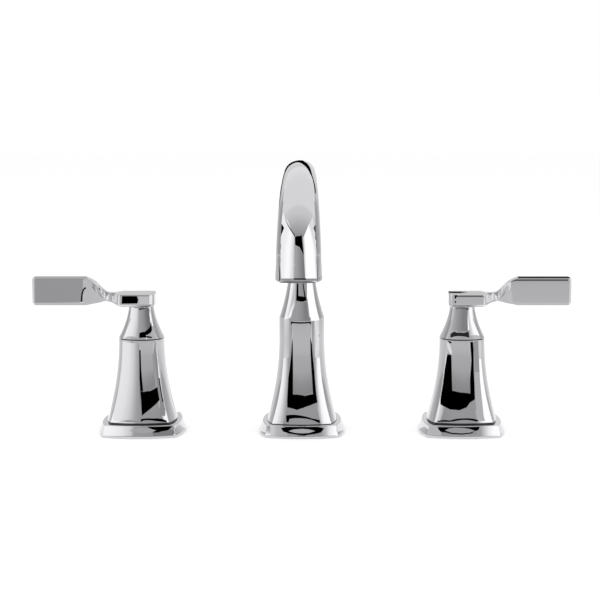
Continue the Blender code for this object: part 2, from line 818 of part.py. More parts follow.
def valve(prefix, side):
    place = (side * VALVE_OFFSET, 0.0, 0.0)
    stand = empty(prefix + "_valve", place)
    base(prefix + "_base", stand)
    gasket(prefix + "_base_gasket", stand)
    valve_shell(prefix + "_body", stand)
    valve_body(prefix + "_valve_body", side, stand)
    cartridge_housing(prefix + "_cartridge_housing", stand)
    seat_seal(prefix + "_seat_seal", stand)
    ceramic_disc(prefix + "_fixed_disc", "fixed_disc", disc_diameter(), stand)
    glide_ring(prefix + "_glide_ring", stand)
    clamp(prefix, VALVE_DIAMETER, stand)
    axis = empty(prefix + "_handle_axis", (0.0, 0.0, 0.0), stand)
    ceramic_disc(prefix + "_turning_disc", "turning_disc", disc_diameter(), axis)
    stem(prefix + "_stem", axis)
    stem_seal(prefix + "_stem_seal", axis)
    stem_clip(prefix + "_stem_clip", axis)
    handle_insert(prefix + "_handle_insert", axis)
    skirt(prefix + "_skirt", axis)
    set_screw(prefix + "_set_screw", axis)
    lever(prefix + "_lever", side, axis)


# Spout casting

def arch_place(share):
    # Centre of the arch and its outward direction, from the neck over to the outlet.
    angle = math.pi * share
    half_reach = 0.5 * SPOUT_REACH
    centre = Vector((0.0, -half_reach * (1.0 - math.cos(angle)), NECK_TOP + ARCH_RISE * math.sin(angle)))
    outward = Vector((0.0, ARCH_RISE * math.cos(angle), half_reach * math.sin(angle))).normalized()
    return centre, outward


def arch_section(share):
    for first, second in zip(ARCH_SECTION_SHARES, ARCH_SECTION_SHARES[1:]):
        if share <= second[0]:
            part = (share - first[0]) / (second[0] - first[0])
            width, depth, bow = (mix(first[i], second[i], part) for i in (1, 2, 3))
            return 0.5 * OUTLET_WIDTH * width, 0.5 * OUTLET_DEPTH * depth, bow
    raise ValueError("share past the end of the arch")


def arch_ring(outline, share):
    centre, outward = arch_place(share)
    return [centre + Vector((u, 0.0, 0.0)) + outward * v for u, v in outline]


def drop_ring(outline, height):
    # Over the outlet the section hangs straight down, turned with the arch's outward side.
    return [Vector((u, -SPOUT_REACH - v, height)) for u, v in outline]


def neck_ring(share):
    height = mix(SHOULDER_HEIGHT, NECK_TOP, share)
    end_width, end_depth, end_bow = arch_section(0.0)
    fall = (1.0 - share) ** NECK_CURVE_POWER
    start = 0.5 * BODY_TOP_WIDTH
    return level(bowed_square(mix(end_width, start, fall), mix(end_depth, start, fall),
                              mix(end_bow, BODY_BOW_SHARE, fall)), height)


def spout(name, parent):
    outer = body_rings()
    for step in range(NECK_RINGS):
        outer.append(neck_ring(step / NECK_RINGS))
    for step in range(ARCH_RINGS + 1):
        share = step / ARCH_RINGS
        width, depth, bow = arch_section(share)
        outer.append(arch_ring(bowed_square(width, depth, bow), share))
    half_width = 0.5 * OUTLET_WIDTH
    half_depth = 0.5 * OUTLET_DEPTH
    for step in range(OUTLET_EDGE_STEPS + 1):
        angle = QUARTER_TURN * step / OUTLET_EDGE_STEPS
        inset = OUTLET_EDGE * (1.0 - math.cos(angle))
        height = SPOUT_OUTLET_HEIGHT + OUTLET_EDGE * (1.0 - math.sin(angle))
        rim = bowed_square(half_width - inset, half_depth - inset, OUTLET_BOW_SHARE)
        outer.append(drop_ring(rim, height))
    mouth = bore_outline(AERATOR_DIAMETER + 2.0 * TOUCH_GAP)
    way = round_outline(WATERWAY, BORE_STEPS)
    inner = [
        drop_ring(mouth, SPOUT_OUTLET_HEIGHT),
        drop_ring(mouth, MOUTH_CEILING),
        drop_ring(way, MOUTH_CEILING),
    ]
    for step in range(WATERWAY_RINGS, -1, -1):
        inner.append(arch_ring(way, step / WATERWAY_RINGS))
    socket = bore_outline(SHANK_DIAMETER + 2.0 * TOUCH_GAP)
    inner += [
        level(way, SOCKET_TOP),
        level(socket, SOCKET_TOP),
        level(socket, SOCKET_START),
    ]
    for step in range(ROOM_RINGS + 1):
        inner.append(body_room_ring(mix(SOCKET_START, BODY_BOTTOM, step / ROOM_RINGS)))
    return piece(name, loft(outer + inner, closed=True), "polished_chrome", parent)


# Aerator in the spout's mouth

def aerator(parent):
    outer = 0.5 * AERATOR_DIAMETER
    bore = 0.5 * bore_diameter(AERATOR_DIAMETER - 2.0 * AERATOR_WALL, VALVE_STEPS)
    lip = bore - AERATOR_LIP
    top = AERATOR_HEIGHT
    piece("aerator_housing", turned([
        (outer, top),
        (bore, top),
        (bore, AERATOR_LIP),
        (lip, AERATOR_LIP),
        (lip, 0.0),
        (outer, 0.0),
    ], VALVE_STEPS), "polished_chrome", parent)
    room = AERATOR_DIAMETER - 2.0 * AERATOR_WALL - 2.0 * TOUCH_GAP
    low = AERATOR_LIP + TOUCH_GAP
    high = low + STRAIGHTENER_HEIGHT
    straightener = piece("aerator_flow_straightener",
                         loft([level(round_outline(room, VALVE_STEPS), low),
                               level(round_outline(room, VALVE_STEPS), high)]),
                         "grey_nylon", parent)
    for step in range(STRAIGHTENER_HOLES):
        angle = FULL_TURN * step / STRAIGHTENER_HOLES
        x = 0.5 * STRAIGHTENER_HOLE_CIRCLE * math.cos(angle)
        y = 0.5 * STRAIGHTENER_HOLE_CIRCLE * math.sin(angle)
        drill = piece("straightener_drill_" + str(step + 1),
                      bar_between(STRAIGHTENER_HOLE, (x, y, low - CUT_OVERRUN), (x, y, high + CUT_OVERRUN),
                                  STRAIGHTENER_HOLE_STEPS),
                      "grey_nylon", parent)
        boolean(straightener, drill, "DIFFERENCE")
    screen_low = high + TOUCH_GAP
    piece("aerator_screen", washer(room, SCREEN_BORE, screen_low, screen_low + SCREEN_HEIGHT, SMALL_STEPS),
          "stainless_steel", parent)
    washer_low = top + TOUCH_GAP
    piece("aerator_washer", washer(AERATOR_DIAMETER, WATERWAY, washer_low,
                                   washer_low + AERATOR_WASHER_HEIGHT, SMALL_STEPS),
          "black_rubber", parent)


# Shank, its seals and the supply tee

def shank(parent):
    top = SOCKET_TOP - SHANK_SEAL_HEIGHT - 2.0 * TOUCH_GAP
    piece("spout_shank", washer(SHANK_DIAMETER, SHANK_BORE, SHANK_BOTTOM, top), "cast_brass", parent)
    seal_bottom = top + TOUCH_GAP
    piece("spout_shank_seal",
          washer(SHANK_DIAMETER, SHANK_BORE, seal_bottom, seal_bottom + SHANK_SEAL_HEIGHT, SMALL_STEPS),
          "black_rubber", parent)


def supply_tee(parent):
    grip_top = SHANK_BOTTOM + TEE_GRIP
    bottom = grip_top - TEE_HEIGHT
    shelf = SHANK_BOTTOM - TEE_SEAL_HEIGHT - 2.0 * TOUCH_GAP
    pipe_height = bottom + TEE_FLOOR + 0.5 * OUTLET_BORE
    outer = 0.5 * TEE_DIAMETER
    socket = 0.5 * bore_diameter(SHANK_DIAMETER + 2.0 * TOUCH_GAP, VALVE_STEPS)
    way = 0.5 * SHANK_BORE
    made = piece("supply_tee", turned([
        (outer, grip_top),
        (socket, grip_top),
        (socket, shelf),
        (way, shelf),
        (way, bottom + TEE_FLOOR),
        (0.0, bottom + TEE_FLOOR),
        (0.0, bottom),
        (outer, bottom),
    ], VALVE_STEPS), "cast_brass", parent)
    for sign, label in ((-1.0, "left"), (1.0, "right")):
        pipe = piece("tee_" + label + "_branch",
                     bar_between(OUTLET_PIPE, (sign * 0.5 * (way + outer), 0.0, pipe_height),
                                 (sign * TEE_REACH, 0.0, pipe_height)), "cast_brass", parent)
        boolean(made, pipe, "UNION")
    drill_reach = TEE_REACH + CUT_OVERRUN
    drill = piece("tee_drill",
                  bar_between(OUTLET_BORE, (-drill_reach, 0.0, pipe_height),
                              (drill_reach, 0.0, pipe_height)),
                  "cast_brass", parent)
    boolean(made, drill, "DIFFERENCE")
    seal_top = SHANK_BOTTOM - TOUCH_GAP
    piece("tee_seal", washer(SHANK_DIAMETER, SHANK_BORE, seal_top - TEE_SEAL_HEIGHT, seal_top, SMALL_STEPS),
          "black_rubber", parent)


def spout_unit():
    stand = empty("spout_stand", (0.0, 0.0, 0.0))
    base("spout_base", stand)
    gasket("spout_base_gasket", stand)
    spout("spout", stand)
    shank(stand)
    clamp("spout", SHANK_DIAMETER, stand)
    supply_tee(stand)
    mouth = empty("spout_mouth", (0.0, -SPOUT_REACH, SPOUT_OUTLET_HEIGHT + AERATOR_SETBACK), stand)
    aerator(mouth)


valve("left", -1.0)
valve("right", 1.0)
spout_unit()
bpy.context.view_layer.update()
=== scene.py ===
import bpy
import json
import math
from mathutils import Matrix, Vector
from mathutils.bvhtree import BVHTree
from mathutils.interpolate import poly_3d_calc

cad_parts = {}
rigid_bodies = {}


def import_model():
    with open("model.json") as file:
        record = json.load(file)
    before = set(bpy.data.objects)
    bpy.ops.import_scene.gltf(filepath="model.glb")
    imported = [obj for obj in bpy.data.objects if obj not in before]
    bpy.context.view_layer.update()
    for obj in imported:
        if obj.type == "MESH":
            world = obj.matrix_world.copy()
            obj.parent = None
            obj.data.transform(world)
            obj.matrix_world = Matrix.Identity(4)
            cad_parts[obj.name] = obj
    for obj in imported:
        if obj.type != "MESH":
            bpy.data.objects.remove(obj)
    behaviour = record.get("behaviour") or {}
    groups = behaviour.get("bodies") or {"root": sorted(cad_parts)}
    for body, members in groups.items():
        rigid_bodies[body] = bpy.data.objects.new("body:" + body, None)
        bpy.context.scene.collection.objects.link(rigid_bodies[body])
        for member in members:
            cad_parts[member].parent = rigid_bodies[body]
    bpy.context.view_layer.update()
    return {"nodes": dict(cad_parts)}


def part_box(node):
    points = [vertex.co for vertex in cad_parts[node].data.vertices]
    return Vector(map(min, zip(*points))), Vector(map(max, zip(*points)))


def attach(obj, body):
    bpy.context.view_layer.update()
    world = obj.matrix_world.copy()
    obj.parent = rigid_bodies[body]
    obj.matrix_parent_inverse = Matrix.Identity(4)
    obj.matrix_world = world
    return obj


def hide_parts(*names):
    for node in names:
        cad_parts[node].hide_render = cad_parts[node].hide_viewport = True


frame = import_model()
nodes = frame["nodes"]
scene = bpy.context.scene
sides = {"left": -1.0, "right": 1.0}
upAxis = (0.0, 0.0, 1.0)
flushGap = 0.0003
mergeDistance = 0.000002
outlineMerge = 0.000005
roundBow = 0.40  # a ring with this bow is as good as round


def middleOf(node):
    low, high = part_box(node)
    return (low + high) / 2


valveX = {side: middleOf(side + "_body").x for side in sides}


# selecting, cleaning and finishing a piece
def deselectAll():
    active = bpy.context.view_layer.objects.active
    if active and active.mode != "OBJECT":
        bpy.ops.object.mode_set(mode="OBJECT")
    bpy.ops.object.select_all(action="DESELECT")


def onlySelect(piece):
    deselectAll()
    piece.select_set(True)
    bpy.context.view_layer.objects.active = piece


def placeInMesh(piece):
    onlySelect(piece)
    bpy.ops.object.transform_apply(location=True, rotation=True, scale=True)


def applyAll(piece):
    onlySelect(piece)
    for step in list(piece.modifiers):
        bpy.ops.object.modifier_apply(modifier=step.name)


def cleanNormals(piece):
    onlySelect(piece)
    bpy.ops.object.mode_set(mode="EDIT")
    bpy.ops.mesh.select_all(action="SELECT")
    bpy.ops.mesh.remove_doubles(threshold=mergeDistance)
    bpy.ops.mesh.normals_make_consistent(inside=False)
    bpy.ops.object.mode_set(mode="OBJECT")


def roundEdges(piece, width, segments=3, angle=24.0):
    # a polished casting has no knife edge: every corner gets a small radius that catches the light
    step = piece.modifiers.new("edges", "BEVEL")
    step.width = width
    step.segments = segments
    step.limit_method = "ANGLE"
    step.angle_limit = math.radians(angle)
    step.miter_outer = "MITER_ARC"
    applyAll(piece)


def smoothShade(piece, angle=40.0):
    onlySelect(piece)
    bpy.ops.object.shade_smooth_by_angle(angle=math.radians(angle))
    step = piece.modifiers.new("weighted", "WEIGHTED_NORMAL")
    step.keep_sharp = True
    step.weight = 80
    applyAll(piece)


def finishPiece(piece, name, body, material, replaced, edge=None, segments=3, angle=24.0):
    piece.name = name
    piece.data.name = name
    placeInMesh(piece)
    cleanNormals(piece)
    if edge:
        roundEdges(piece, edge, segments, angle)
    smoothShade(piece)
    piece.data.materials.clear()
    piece.data.materials.append(material)
    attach(piece, body)
    if replaced:
        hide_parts(*replaced)
    return piece


def mix(first, second, share):
    return first + (second - first) * share


def ease(share):
    return share * share * (3.0 - 2.0 * share)


# finishes of the materials in the record
def newMaterial(name):
    made = bpy.data.materials.new(name)
    made.use_nodes = True
    made.node_tree.nodes.clear()
    output = made.node_tree.nodes.new("ShaderNodeOutputMaterial")
    shader = made.node_tree.nodes.new("ShaderNodeBsdfPrincipled")
    made.node_tree.links.new(shader.outputs["BSDF"], output.inputs["Surface"])
    return made, shader


polishGrain = {"finerSize": 5.3, "fineShare": 0.35, "hazeFrom": 0.45, "hazeTo": 0.90, "coarseDetail": 3.0,
               "fineDetail": 2.0}


def makeGrainGroup():
    # polish haze and fine rubbing marks: noise at two sizes, squeezed into a range
    group = bpy.data.node_groups.new("polishGrain", "ShaderNodeTree")
    for name, value in (("Size", 300.0), ("Low", 0.02), ("High", 0.06), ("Stretch", 1.0)):
        socket = group.interface.new_socket(name, in_out="INPUT", socket_type="NodeSocketFloat")
        socket.default_value = value
    for name in ("Value", "Height"):
        group.interface.new_socket(name, in_out="OUTPUT", socket_type="NodeSocketFloat")
    tree, link = group.nodes, group.links.new
    inside = tree.new("NodeGroupInput")
    outside = tree.new("NodeGroupOutput")
    place = tree.new("ShaderNodeTexCoord")
    stretch = tree.new("ShaderNodeCombineXYZ")
    stretch.inputs["X"].default_value = 1.0
    stretch.inputs["Y"].default_value = 1.0
    scale = tree.new("ShaderNodeVectorMath")
    scale.operation = "MULTIPLY"
    coarse = tree.new("ShaderNodeTexNoise")
    fine = tree.new("ShaderNodeTexNoise")
    finer = tree.new("ShaderNodeMath")
    finer.operation = "MULTIPLY"
    finer.inputs[1].default_value = polishGrain["finerSize"]
    blend = tree.new("ShaderNodeMath")
    blend.operation = "MULTIPLY_ADD"
    blend.inputs[1].default_value = polishGrain["fineShare"]
    squeeze = tree.new("ShaderNodeMapRange")
    squeeze.inputs["From Min"].default_value = polishGrain["hazeFrom"]
    squeeze.inputs["From Max"].default_value = polishGrain["hazeTo"]
    coarse.inputs["Detail"].default_value = polishGrain["coarseDetail"]
    fine.inputs["Detail"].default_value = polishGrain["fineDetail"]
    link(inside.outputs["Stretch"], stretch.inputs["Z"])
    link(place.outputs["Object"], scale.inputs[0])
    link(stretch.outputs["Vector"], scale.inputs[1])
    link(scale.outputs["Vector"], coarse.inputs["Vector"])
    link(scale.outputs["Vector"], fine.inputs["Vector"])
    link(inside.outputs["Size"], coarse.inputs["Scale"])
    link(inside.outputs["Size"], finer.inputs[0])
    link(finer.outputs[0], fine.inputs["Scale"])
    link(fine.outputs["Fac"], blend.inputs[0])
    link(coarse.outputs["Fac"], blend.inputs[2])
    link(blend.outputs[0], squeeze.inputs["Value"])
    link(inside.outputs["Low"], squeeze.inputs["To Min"])
    link(inside.outputs["High"], squeeze.inputs["To Max"])
    link(squeeze.outputs["Result"], outside.inputs["Value"])
    link(blend.outputs[0], outside.inputs["Height"])
    return group


grainGroup = makeGrainGroup()


def grainInto(material, shader, values):
    tree, link = material.node_tree.nodes, material.node_tree.links.new
    grain = tree.new("ShaderNodeGroup")
    grain.node_tree = grainGroup
    grain.inputs["Size"].default_value = values["grainSize"]
    grain.inputs["Low"].default_value = values["roughness"][0]
    grain.inputs["High"].default_value = values["roughness"][1]
    grain.inputs["Stretch"].default_value = values.get("stretch", 1.0)
    link(grain.outputs["Value"], shader.inputs["Roughness"])
    bump = tree.new("ShaderNodeBump")
    bump.inputs["Strength"].default_value = values["bump"]
    bump.inputs["Distance"].default_value = values["bumpDepth"]
    link(grain.outputs["Height"], bump.inputs["Height"])
    link(bump.outputs["Normal"], shader.inputs["Normal"])
    ramp = tree.new("ShaderNodeMix")
    ramp.data_type = "RGBA"
    ramp.inputs[6].default_value = (*values["colour"], 1.0)
    ramp.inputs[7].default_value = (*values["colourLow"], 1.0)
    link(grain.outputs["Height"], ramp.inputs[0])
    link(ramp.outputs[2], shader.inputs["Base Color"])


finishes = {
    "polished_chrome": {"colour": (0.640, 0.640, 0.662), "colourLow": (0.655, 0.655, 0.672), "metallic": 1.0,
                        "grainSize": 70.0, "roughness": (0.012, 0.030), "bump": 0.03, "bumpDepth": 0.00002},
    "cast_brass": {"colour": (0.70, 0.50, 0.23), "colourLow": (0.60, 0.40, 0.17), "metallic": 1.0,
                   "grainSize": 420.0, "roughness": (0.22, 0.42), "bump": 0.35, "bumpDepth": 0.00015,
                   "stretch": 4.0},
    "black_rubber": {"colour": (0.030, 0.030, 0.031), "colourLow": (0.052, 0.051, 0.050), "metallic": 0.0,
                     "grainSize": 900.0, "roughness": (0.62, 0.85), "bump": 0.5, "bumpDepth": 0.0001},
    "alumina_ceramic": {"colour": (0.86, 0.84, 0.78), "colourLow": (0.80, 0.78, 0.72), "metallic": 0.0,
                        "grainSize": 800.0, "roughness": (0.18, 0.30), "bump": 0.1, "bumpDepth": 0.00005},
    "stainless_steel": {"colour": (0.60, 0.60, 0.61), "colourLow": (0.52, 0.52, 0.53), "metallic": 1.0,
                        "grainSize": 500.0, "roughness": (0.22, 0.38), "bump": 0.25, "bumpDepth": 0.00008,
                        "stretch": 6.0},
    "white_acetal": {"colour": (0.86, 0.86, 0.84), "colourLow": (0.80, 0.80, 0.78), "metallic": 0.0,
                     "grainSize": 700.0, "roughness": (0.38, 0.52), "bump": 0.2, "bumpDepth": 0.00006},
    "black_acetal": {"colour": (0.016, 0.016, 0.018), "colourLow": (0.030, 0.030, 0.033), "metallic": 0.0,
                     "grainSize": 700.0, "roughness": (0.30, 0.45), "bump": 0.2, "bumpDepth": 0.00006},
    "grey_nylon": {"colour": (0.42, 0.43, 0.45), "colourLow": (0.36, 0.37, 0.39), "metallic": 0.0,
                   "grainSize": 650.0, "roughness": (0.42, 0.60), "bump": 0.25, "bumpDepth": 0.00008},
}

materials = {}
for slotName, values in finishes.items():
    made, shader = newMaterial(slotName + "_finish")
    shader.inputs["Metallic"].default_value = values["metallic"]
    grainInto(made, shader, values)
    materials[slotName] = made

chrome = materials["polished_chrome"]
for name, node in nodes.items():
    slotName = node.data.materials[0].name.split(".")[0]
    node.material_slots[0].link = "OBJECT"
    node.material_slots[0].material = materials.get(slotName, chrome)
print("materials ready:", len(materials))


# outlines and walls
def startOutline(centre, halfWidth, bowShare, steps):
    # one bowed side is spun out of a corner point, and three turned copies close the ring
    chord = halfWidth / (1.0 + bowShare)
    rise = halfWidth - chord
    radius = (chord * chord + rise * rise) / (2.0 * rise)
    reach = math.asin(chord / radius)
    deselectAll()
    bpy.ops.mesh.primitive_plane_add(size=halfWidth, location=centre)
    piece = bpy.context.object
    bpy.ops.object.mode_set(mode="EDIT")
    bpy.ops.mesh.select_mode(type="VERT")
    bpy.ops.mesh.select_all(action="SELECT")
    bpy.ops.mesh.merge(type="CENTER")
    bpy.ops.transform.translate(value=(chord, -chord, 0.0))
    bpy.ops.mesh.spin(steps=steps, angle=-2.0 * reach, axis=upAxis,
                      center=(centre[0] + halfWidth - radius, centre[1], centre[2]))
    bpy.ops.mesh.select_all(action="SELECT")
    bpy.ops.mesh.spin(steps=4, dupli=True, angle=2.0 * math.pi, axis=upAxis, center=centre)
    bpy.ops.mesh.select_all(action="SELECT")
    bpy.ops.mesh.remove_doubles(threshold=outlineMerge)
    bpy.ops.mesh.select_all(action="SELECT")
    return piece


def growWall(centre, startHalf, startHeight, rings):
    # each ring is (half width, height): the edge loop is pulled up and scaled
    half, height = startHalf, startHeight
    for nextHalf, nextHeight in rings:
        bpy.ops.mesh.extrude_region_move(TRANSFORM_OT_translate={"value": (0.0, 0.0, nextHeight - height)})
        share = nextHalf / half
        bpy.ops.transform.resize(value=(share, share, 1.0),
                                 center_override=(centre[0], centre[1], nextHeight))
        half, height = nextHalf, nextHeight


def closeWall():
    bpy.ops.mesh.select_all(action="DESELECT")
    bpy.ops.mesh.select_non_manifold()
    bpy.ops.mesh.bridge_edge_loops()
    bpy.ops.object.mode_set(mode="OBJECT")


def spunShell(centre, bowShare, steps, rings):
    half, height = rings[0]
    piece = startOutline((centre[0], centre[1], height), half, bowShare, steps)
    growWall(centre, half, height, rings[1:])
    closeWall()
    return piece


def bowedRing(halfWidth, halfDepth, bow, steps):
    chord = 1.0 / (1.0 + bow)
    rise = 1.0 - chord
    radius = (chord * chord + rise * rise) / (2.0 * rise)
    reach = math.asin(chord / radius)
    points = []
    for side in range(4):
        turn = math.pi / 2 * side
        for step in range(steps):
            angle = -reach + 2.0 * reach * step / steps
            out = 1.0 - radius + radius * math.cos(angle)
            along = radius * math.sin(angle)
            points.append((halfWidth * (out * math.cos(turn) - along * math.sin(turn)),
                           halfDepth * (out * math.sin(turn) + along * math.cos(turn))))
    return points


def loftRings(name, rings, closed=False):
    mesh = bpy.data.meshes.new(name)
    count = len(rings[0])
    points = [point for ring in rings for point in ring]
    faces = []
    pairs = [(i, i + 1) for i in range(len(rings) - 1)]
    if closed:
        pairs.append((len(rings) - 1, 0))
    else:
        faces.append(list(range(count)))
        faces.append([(len(rings) - 1) * count + k for k in range(count)])
    for low, high in pairs:
        for k in range(count):
            after = (k + 1) % count
            faces.append((low * count + k, low * count + after, high * count + after, high * count + k))
    mesh.from_pydata(points, [], faces)
    piece = bpy.data.objects.new(name, mesh)
    scene.collection.objects.link(piece)
    return piece


def bowedShell(name, centre, steps, rings):
    # the bow of the sides changes with height, which no scaled loop can follow, so the rings are lofted
    lofted = []
    for half, height, bow in rings:
        lofted.append([(centre[0] + u, centre[1] + v, height) for u, v in bowedRing(half, half, bow, steps)])
    return loftRings(name, lofted, closed=True)


# square bases: a low edge, then a face that slopes in to the top
baseShape = {"width": 0.0551, "topWidth": 0.0498, "bow": 0.194, "topBow": 0.142, "edgeHeight": 0.0016,
             "facePower": 0.85, "hole": 0.0250, "rim": 0.0030, "recess": 0.0024, "steps": 24, "faceRings": 10,
             "edge": 0.00035}


def baseRings(low, high, shape):
    half, topHalf, bow = shape["width"] / 2, shape["topWidth"] / 2, shape["bow"]
    rings = [(half, low, bow), (half, shape["edgeHeight"], bow)]
    for step in range(1, shape["faceRings"] + 1):
        share = step / shape["faceRings"]
        rings.append((mix(half, topHalf, share ** shape["facePower"]), mix(shape["edgeHeight"], high, share),
                      mix(bow, shape["topBow"], share)))
    inner = half - shape["rim"]
    ceiling = shape["recess"] + flushGap
    rings += [(shape["hole"] / 2, high, roundBow), (shape["hole"] / 2, ceiling, roundBow),
              (inner, ceiling, bow), (inner, low, bow)]
    return rings


def makeBase(name, nodeName, body):
    low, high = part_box(nodeName)
    centre = middleOf(nodeName)
    piece = bowedShell(name, centre, baseShape["steps"], baseRings(low.z, high.z, baseShape))
    return finishPiece(piece, name, body, chrome, [nodeName], edge=baseShape["edge"])


for side in sides:
    makeBase(side + "_base_casting", side + "_base", "faucet")
makeBase("spout_base_casting", "spout_base", "faucet")
print("bases ready")


# flared bodies, hollow, on a black foot ring whose black is painted shade for the shadow line between body
# and base
bodyShape = {"footWidth": 0.0444, "topWidth": 0.0285, "bow": 0.288, "footBow": 0.195, "power": 2.0,
             "wall": 0.0025, "rings": 36, "insideRings": 6, "steps": 24, "neckHole": 0.0130,
             "seatDrop": 0.0010, "seatHalf": 0.0131, "roof": 0.0025, "edge": 0.00035, "sealInset": 0.0009,
             "sealHeight": 0.0008, "sealLap": 0.0002}


def flareHalf(height, low, high, shape):
    drop = max(0.0, (high - height) / (high - low))
    return mix(shape["topWidth"], shape["footWidth"], drop ** shape["power"]) / 2


def flareBow(height, low, high, shape):
    drop = max(0.0, (high - height) / (high - low))
    return mix(shape["bow"], shape["footBow"], drop ** shape["power"])


def flareRings(low, high, shape):
    heights = [mix(low, high, step / shape["rings"]) for step in range(shape["rings"] + 1)]
    return [(flareHalf(at, low, high, shape), at, flareBow(at, low, high, shape)) for at in heights]


def makeFootShadeRing(side):
    # black ring that the casting stands on, set in under its foot: the inset makes a real groove, and its
    # black is painted shade for the shadow line between body and base
    low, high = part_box(side + "_body")
    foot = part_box(side + "_base")[1].z
    half = bodyShape["footWidth"] / 2 - bodyShape["sealInset"]
    top = low.z + bodyShape["sealHeight"]
    inner = half - bodyShape["wall"]
    rings = [(half, foot, bodyShape["footBow"]), (half, top, bodyShape["footBow"]),
             (inner, top, bodyShape["footBow"]), (inner, foot, bodyShape["footBow"])]
    piece = bowedShell(side + "_foot_shade_ring", (valveX[side], 0.0), bodyShape["steps"], rings)
    return finishPiece(piece, side + "_foot_shade_ring", "faucet", materials["black_acetal"], [])


def makeBody(side):
    low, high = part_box(side + "_body")
    foot = low.z + bodyShape["sealHeight"] - bodyShape["sealLap"]
    rings = flareRings(foot, high.z, bodyShape)
    seat = high.z - bodyShape["seatDrop"]
    roof = high.z - bodyShape["roof"] - bodyShape["seatDrop"]
    bow = bodyShape["bow"]
    rings += [(bodyShape["seatHalf"], high.z, bow), (bodyShape["seatHalf"], seat, bow),
              (bodyShape["neckHole"] / 2, seat, roundBow), (bodyShape["neckHole"] / 2, roof, roundBow)]
    for step in range(bodyShape["insideRings"] + 1):
        height = mix(roof, foot, step / bodyShape["insideRings"])
        rings.append((flareHalf(height, foot, high.z, bodyShape) - bodyShape["wall"], height,
                      flareBow(height, foot, high.z, bodyShape)))
    piece = bowedShell(side + "_body_casting", (valveX[side], 0.0), bodyShape["steps"], rings)
    return finishPiece(piece, side + "_body_casting", "faucet", chrome,
                       [side + "_body"], edge=bodyShape["edge"])


for side in sides:
    makeFootShadeRing(side)
    makeBody(side)
print("bodies ready")


# skirts that turn with the levers, with a hole for the set screw in the back
skirtShape = {"topWidth": 0.0158, "power": 1.62, "bore": 0.0107, "wall": 0.0024, "rings": 26,
              "insideRings": 6, "insideShare": 0.6, "steps": 24, "edge": 0.0003, "screwHole": 0.0032,
              "screwDrop": 0.0050, "drillAt": 0.0095, "drillLength": 0.012, "drillSides": 32}


def skirtHalf(height, low, high):
    drop = (high - height) / (high - low)
    return mix(skirtShape["topWidth"], bodyShape["topWidth"], max(0.0, drop) ** skirtShape["power"]) / 2


def makeSkirt(side):
    low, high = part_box(side + "_skirt")
    low, high = low.z, high.z
    rings = []
    for step in range(skirtShape["rings"] + 1):
        height = mix(low, high, step / skirtShape["rings"])
        rings.append((skirtHalf(height, low, high), height))
    rings.append((skirtShape["bore"] / 2, high))
    for step in range(skirtShape["insideRings"], -1, -1):
        height = mix(low, high, skirtShape["insideShare"] * step / skirtShape["insideRings"])
        rings.append((max(skirtHalf(height, low, high) - skirtShape["wall"], skirtShape["bore"] / 2), height))
    piece = spunShell((valveX[side], 0.0, 0.0), bodyShape["bow"], skirtShape["steps"], rings)
    placeInMesh(piece)
    cleanNormals(piece)
    deselectAll()
    screwHeight = high - skirtShape["screwDrop"]
    bpy.ops.mesh.primitive_cylinder_add(vertices=skirtShape["drillSides"], radius=skirtShape["screwHole"] / 2,
                                        depth=skirtShape["drillLength"],
                                        location=(valveX[side], skirtShape["drillAt"], screwHeight),
                                        rotation=(math.pi / 2, 0.0, 0.0))
    drill = bpy.context.object
    step = piece.modifiers.new("screw hole", "BOOLEAN")
    step.operation = "DIFFERENCE"
    step.object = drill
    applyAll(piece)
    bpy.data.objects.remove(drill, do_unlink=True)
    return finishPiece(piece, side + "_skirt_casting", side + "_handle", chrome,
                       [side + "_skirt"], edge=skirtShape["edge"])


for side in sides:
    makeSkirt(side)
print("skirts ready")


# levers: flat hub, waist, quarter twist, upright blade
leverShape = {"inner": 0.0090, "outer": 0.0120, "depth": 0.0190, "height": 0.0085, "corner": 0.0036,
              "waist": 0.0203, "waistDepth": 0.0078, "waistHeight": 0.0064, "bladeStart": 0.0352,
              "reach": 0.0687, "bladeHeight": 0.0184, "bladeThick": 0.0056, "bladeCorner": 0.0024,
              "rise": 0.0051, "waistRise": 0.24, "waistTwist": 0.10, "twistSpeed": 1.35, "bladeEase": 0.5,
              "twist": -90.0, "hubEdge": 0.0014, "waistEdge": 0.0012, "bladeEdge": 0.0019,
              "boss": 0.0100, "bossBottom": 0.0620, "cornerSteps": 8, "waistSteps": 14, "twistSteps": 34,
              "edgeSteps": 5, "faceSteps": 4, "leastEdge": 0.0001, "bossSides": 48}


def barSection(halfWide, halfThin, edge, shape):
    # rounded rectangle, counted from the middle of one wide end
    points = []
    for quarter, (wideSign, thinSign) in enumerate(((1, 1), (-1, 1), (-1, -1), (1, -1))):
        for step in range(shape["edgeSteps"] + 1):
            angle = math.pi / 2 * (quarter + step / shape["edgeSteps"])
            points.append((wideSign * (halfWide - edge) + edge * math.cos(angle),
                           thinSign * (halfThin - edge) + edge * math.sin(angle)))
        nextWide, nextThin = ((-1, 1), (-1, -1), (1, -1), (1, 1))[quarter]
        endAngle = math.pi / 2 * (quarter + 1)
        first = points[-1]
        last = (nextWide * (halfWide - edge) + edge * math.cos(endAngle),
                nextThin * (halfThin - edge) + edge * math.sin(endAngle))
        for step in range(1, shape["faceSteps"]):
            share = step / shape["faceSteps"]
            points.append((mix(first[0], last[0], share), mix(first[1], last[1], share)))
    return points


def quarterInset(size, distance):
    # how far a rounded corner has drawn in, that far from the end
    if distance >= size:
        return 0.0
    return size - math.sqrt(max(0.0, size * size - (size - distance) ** 2))


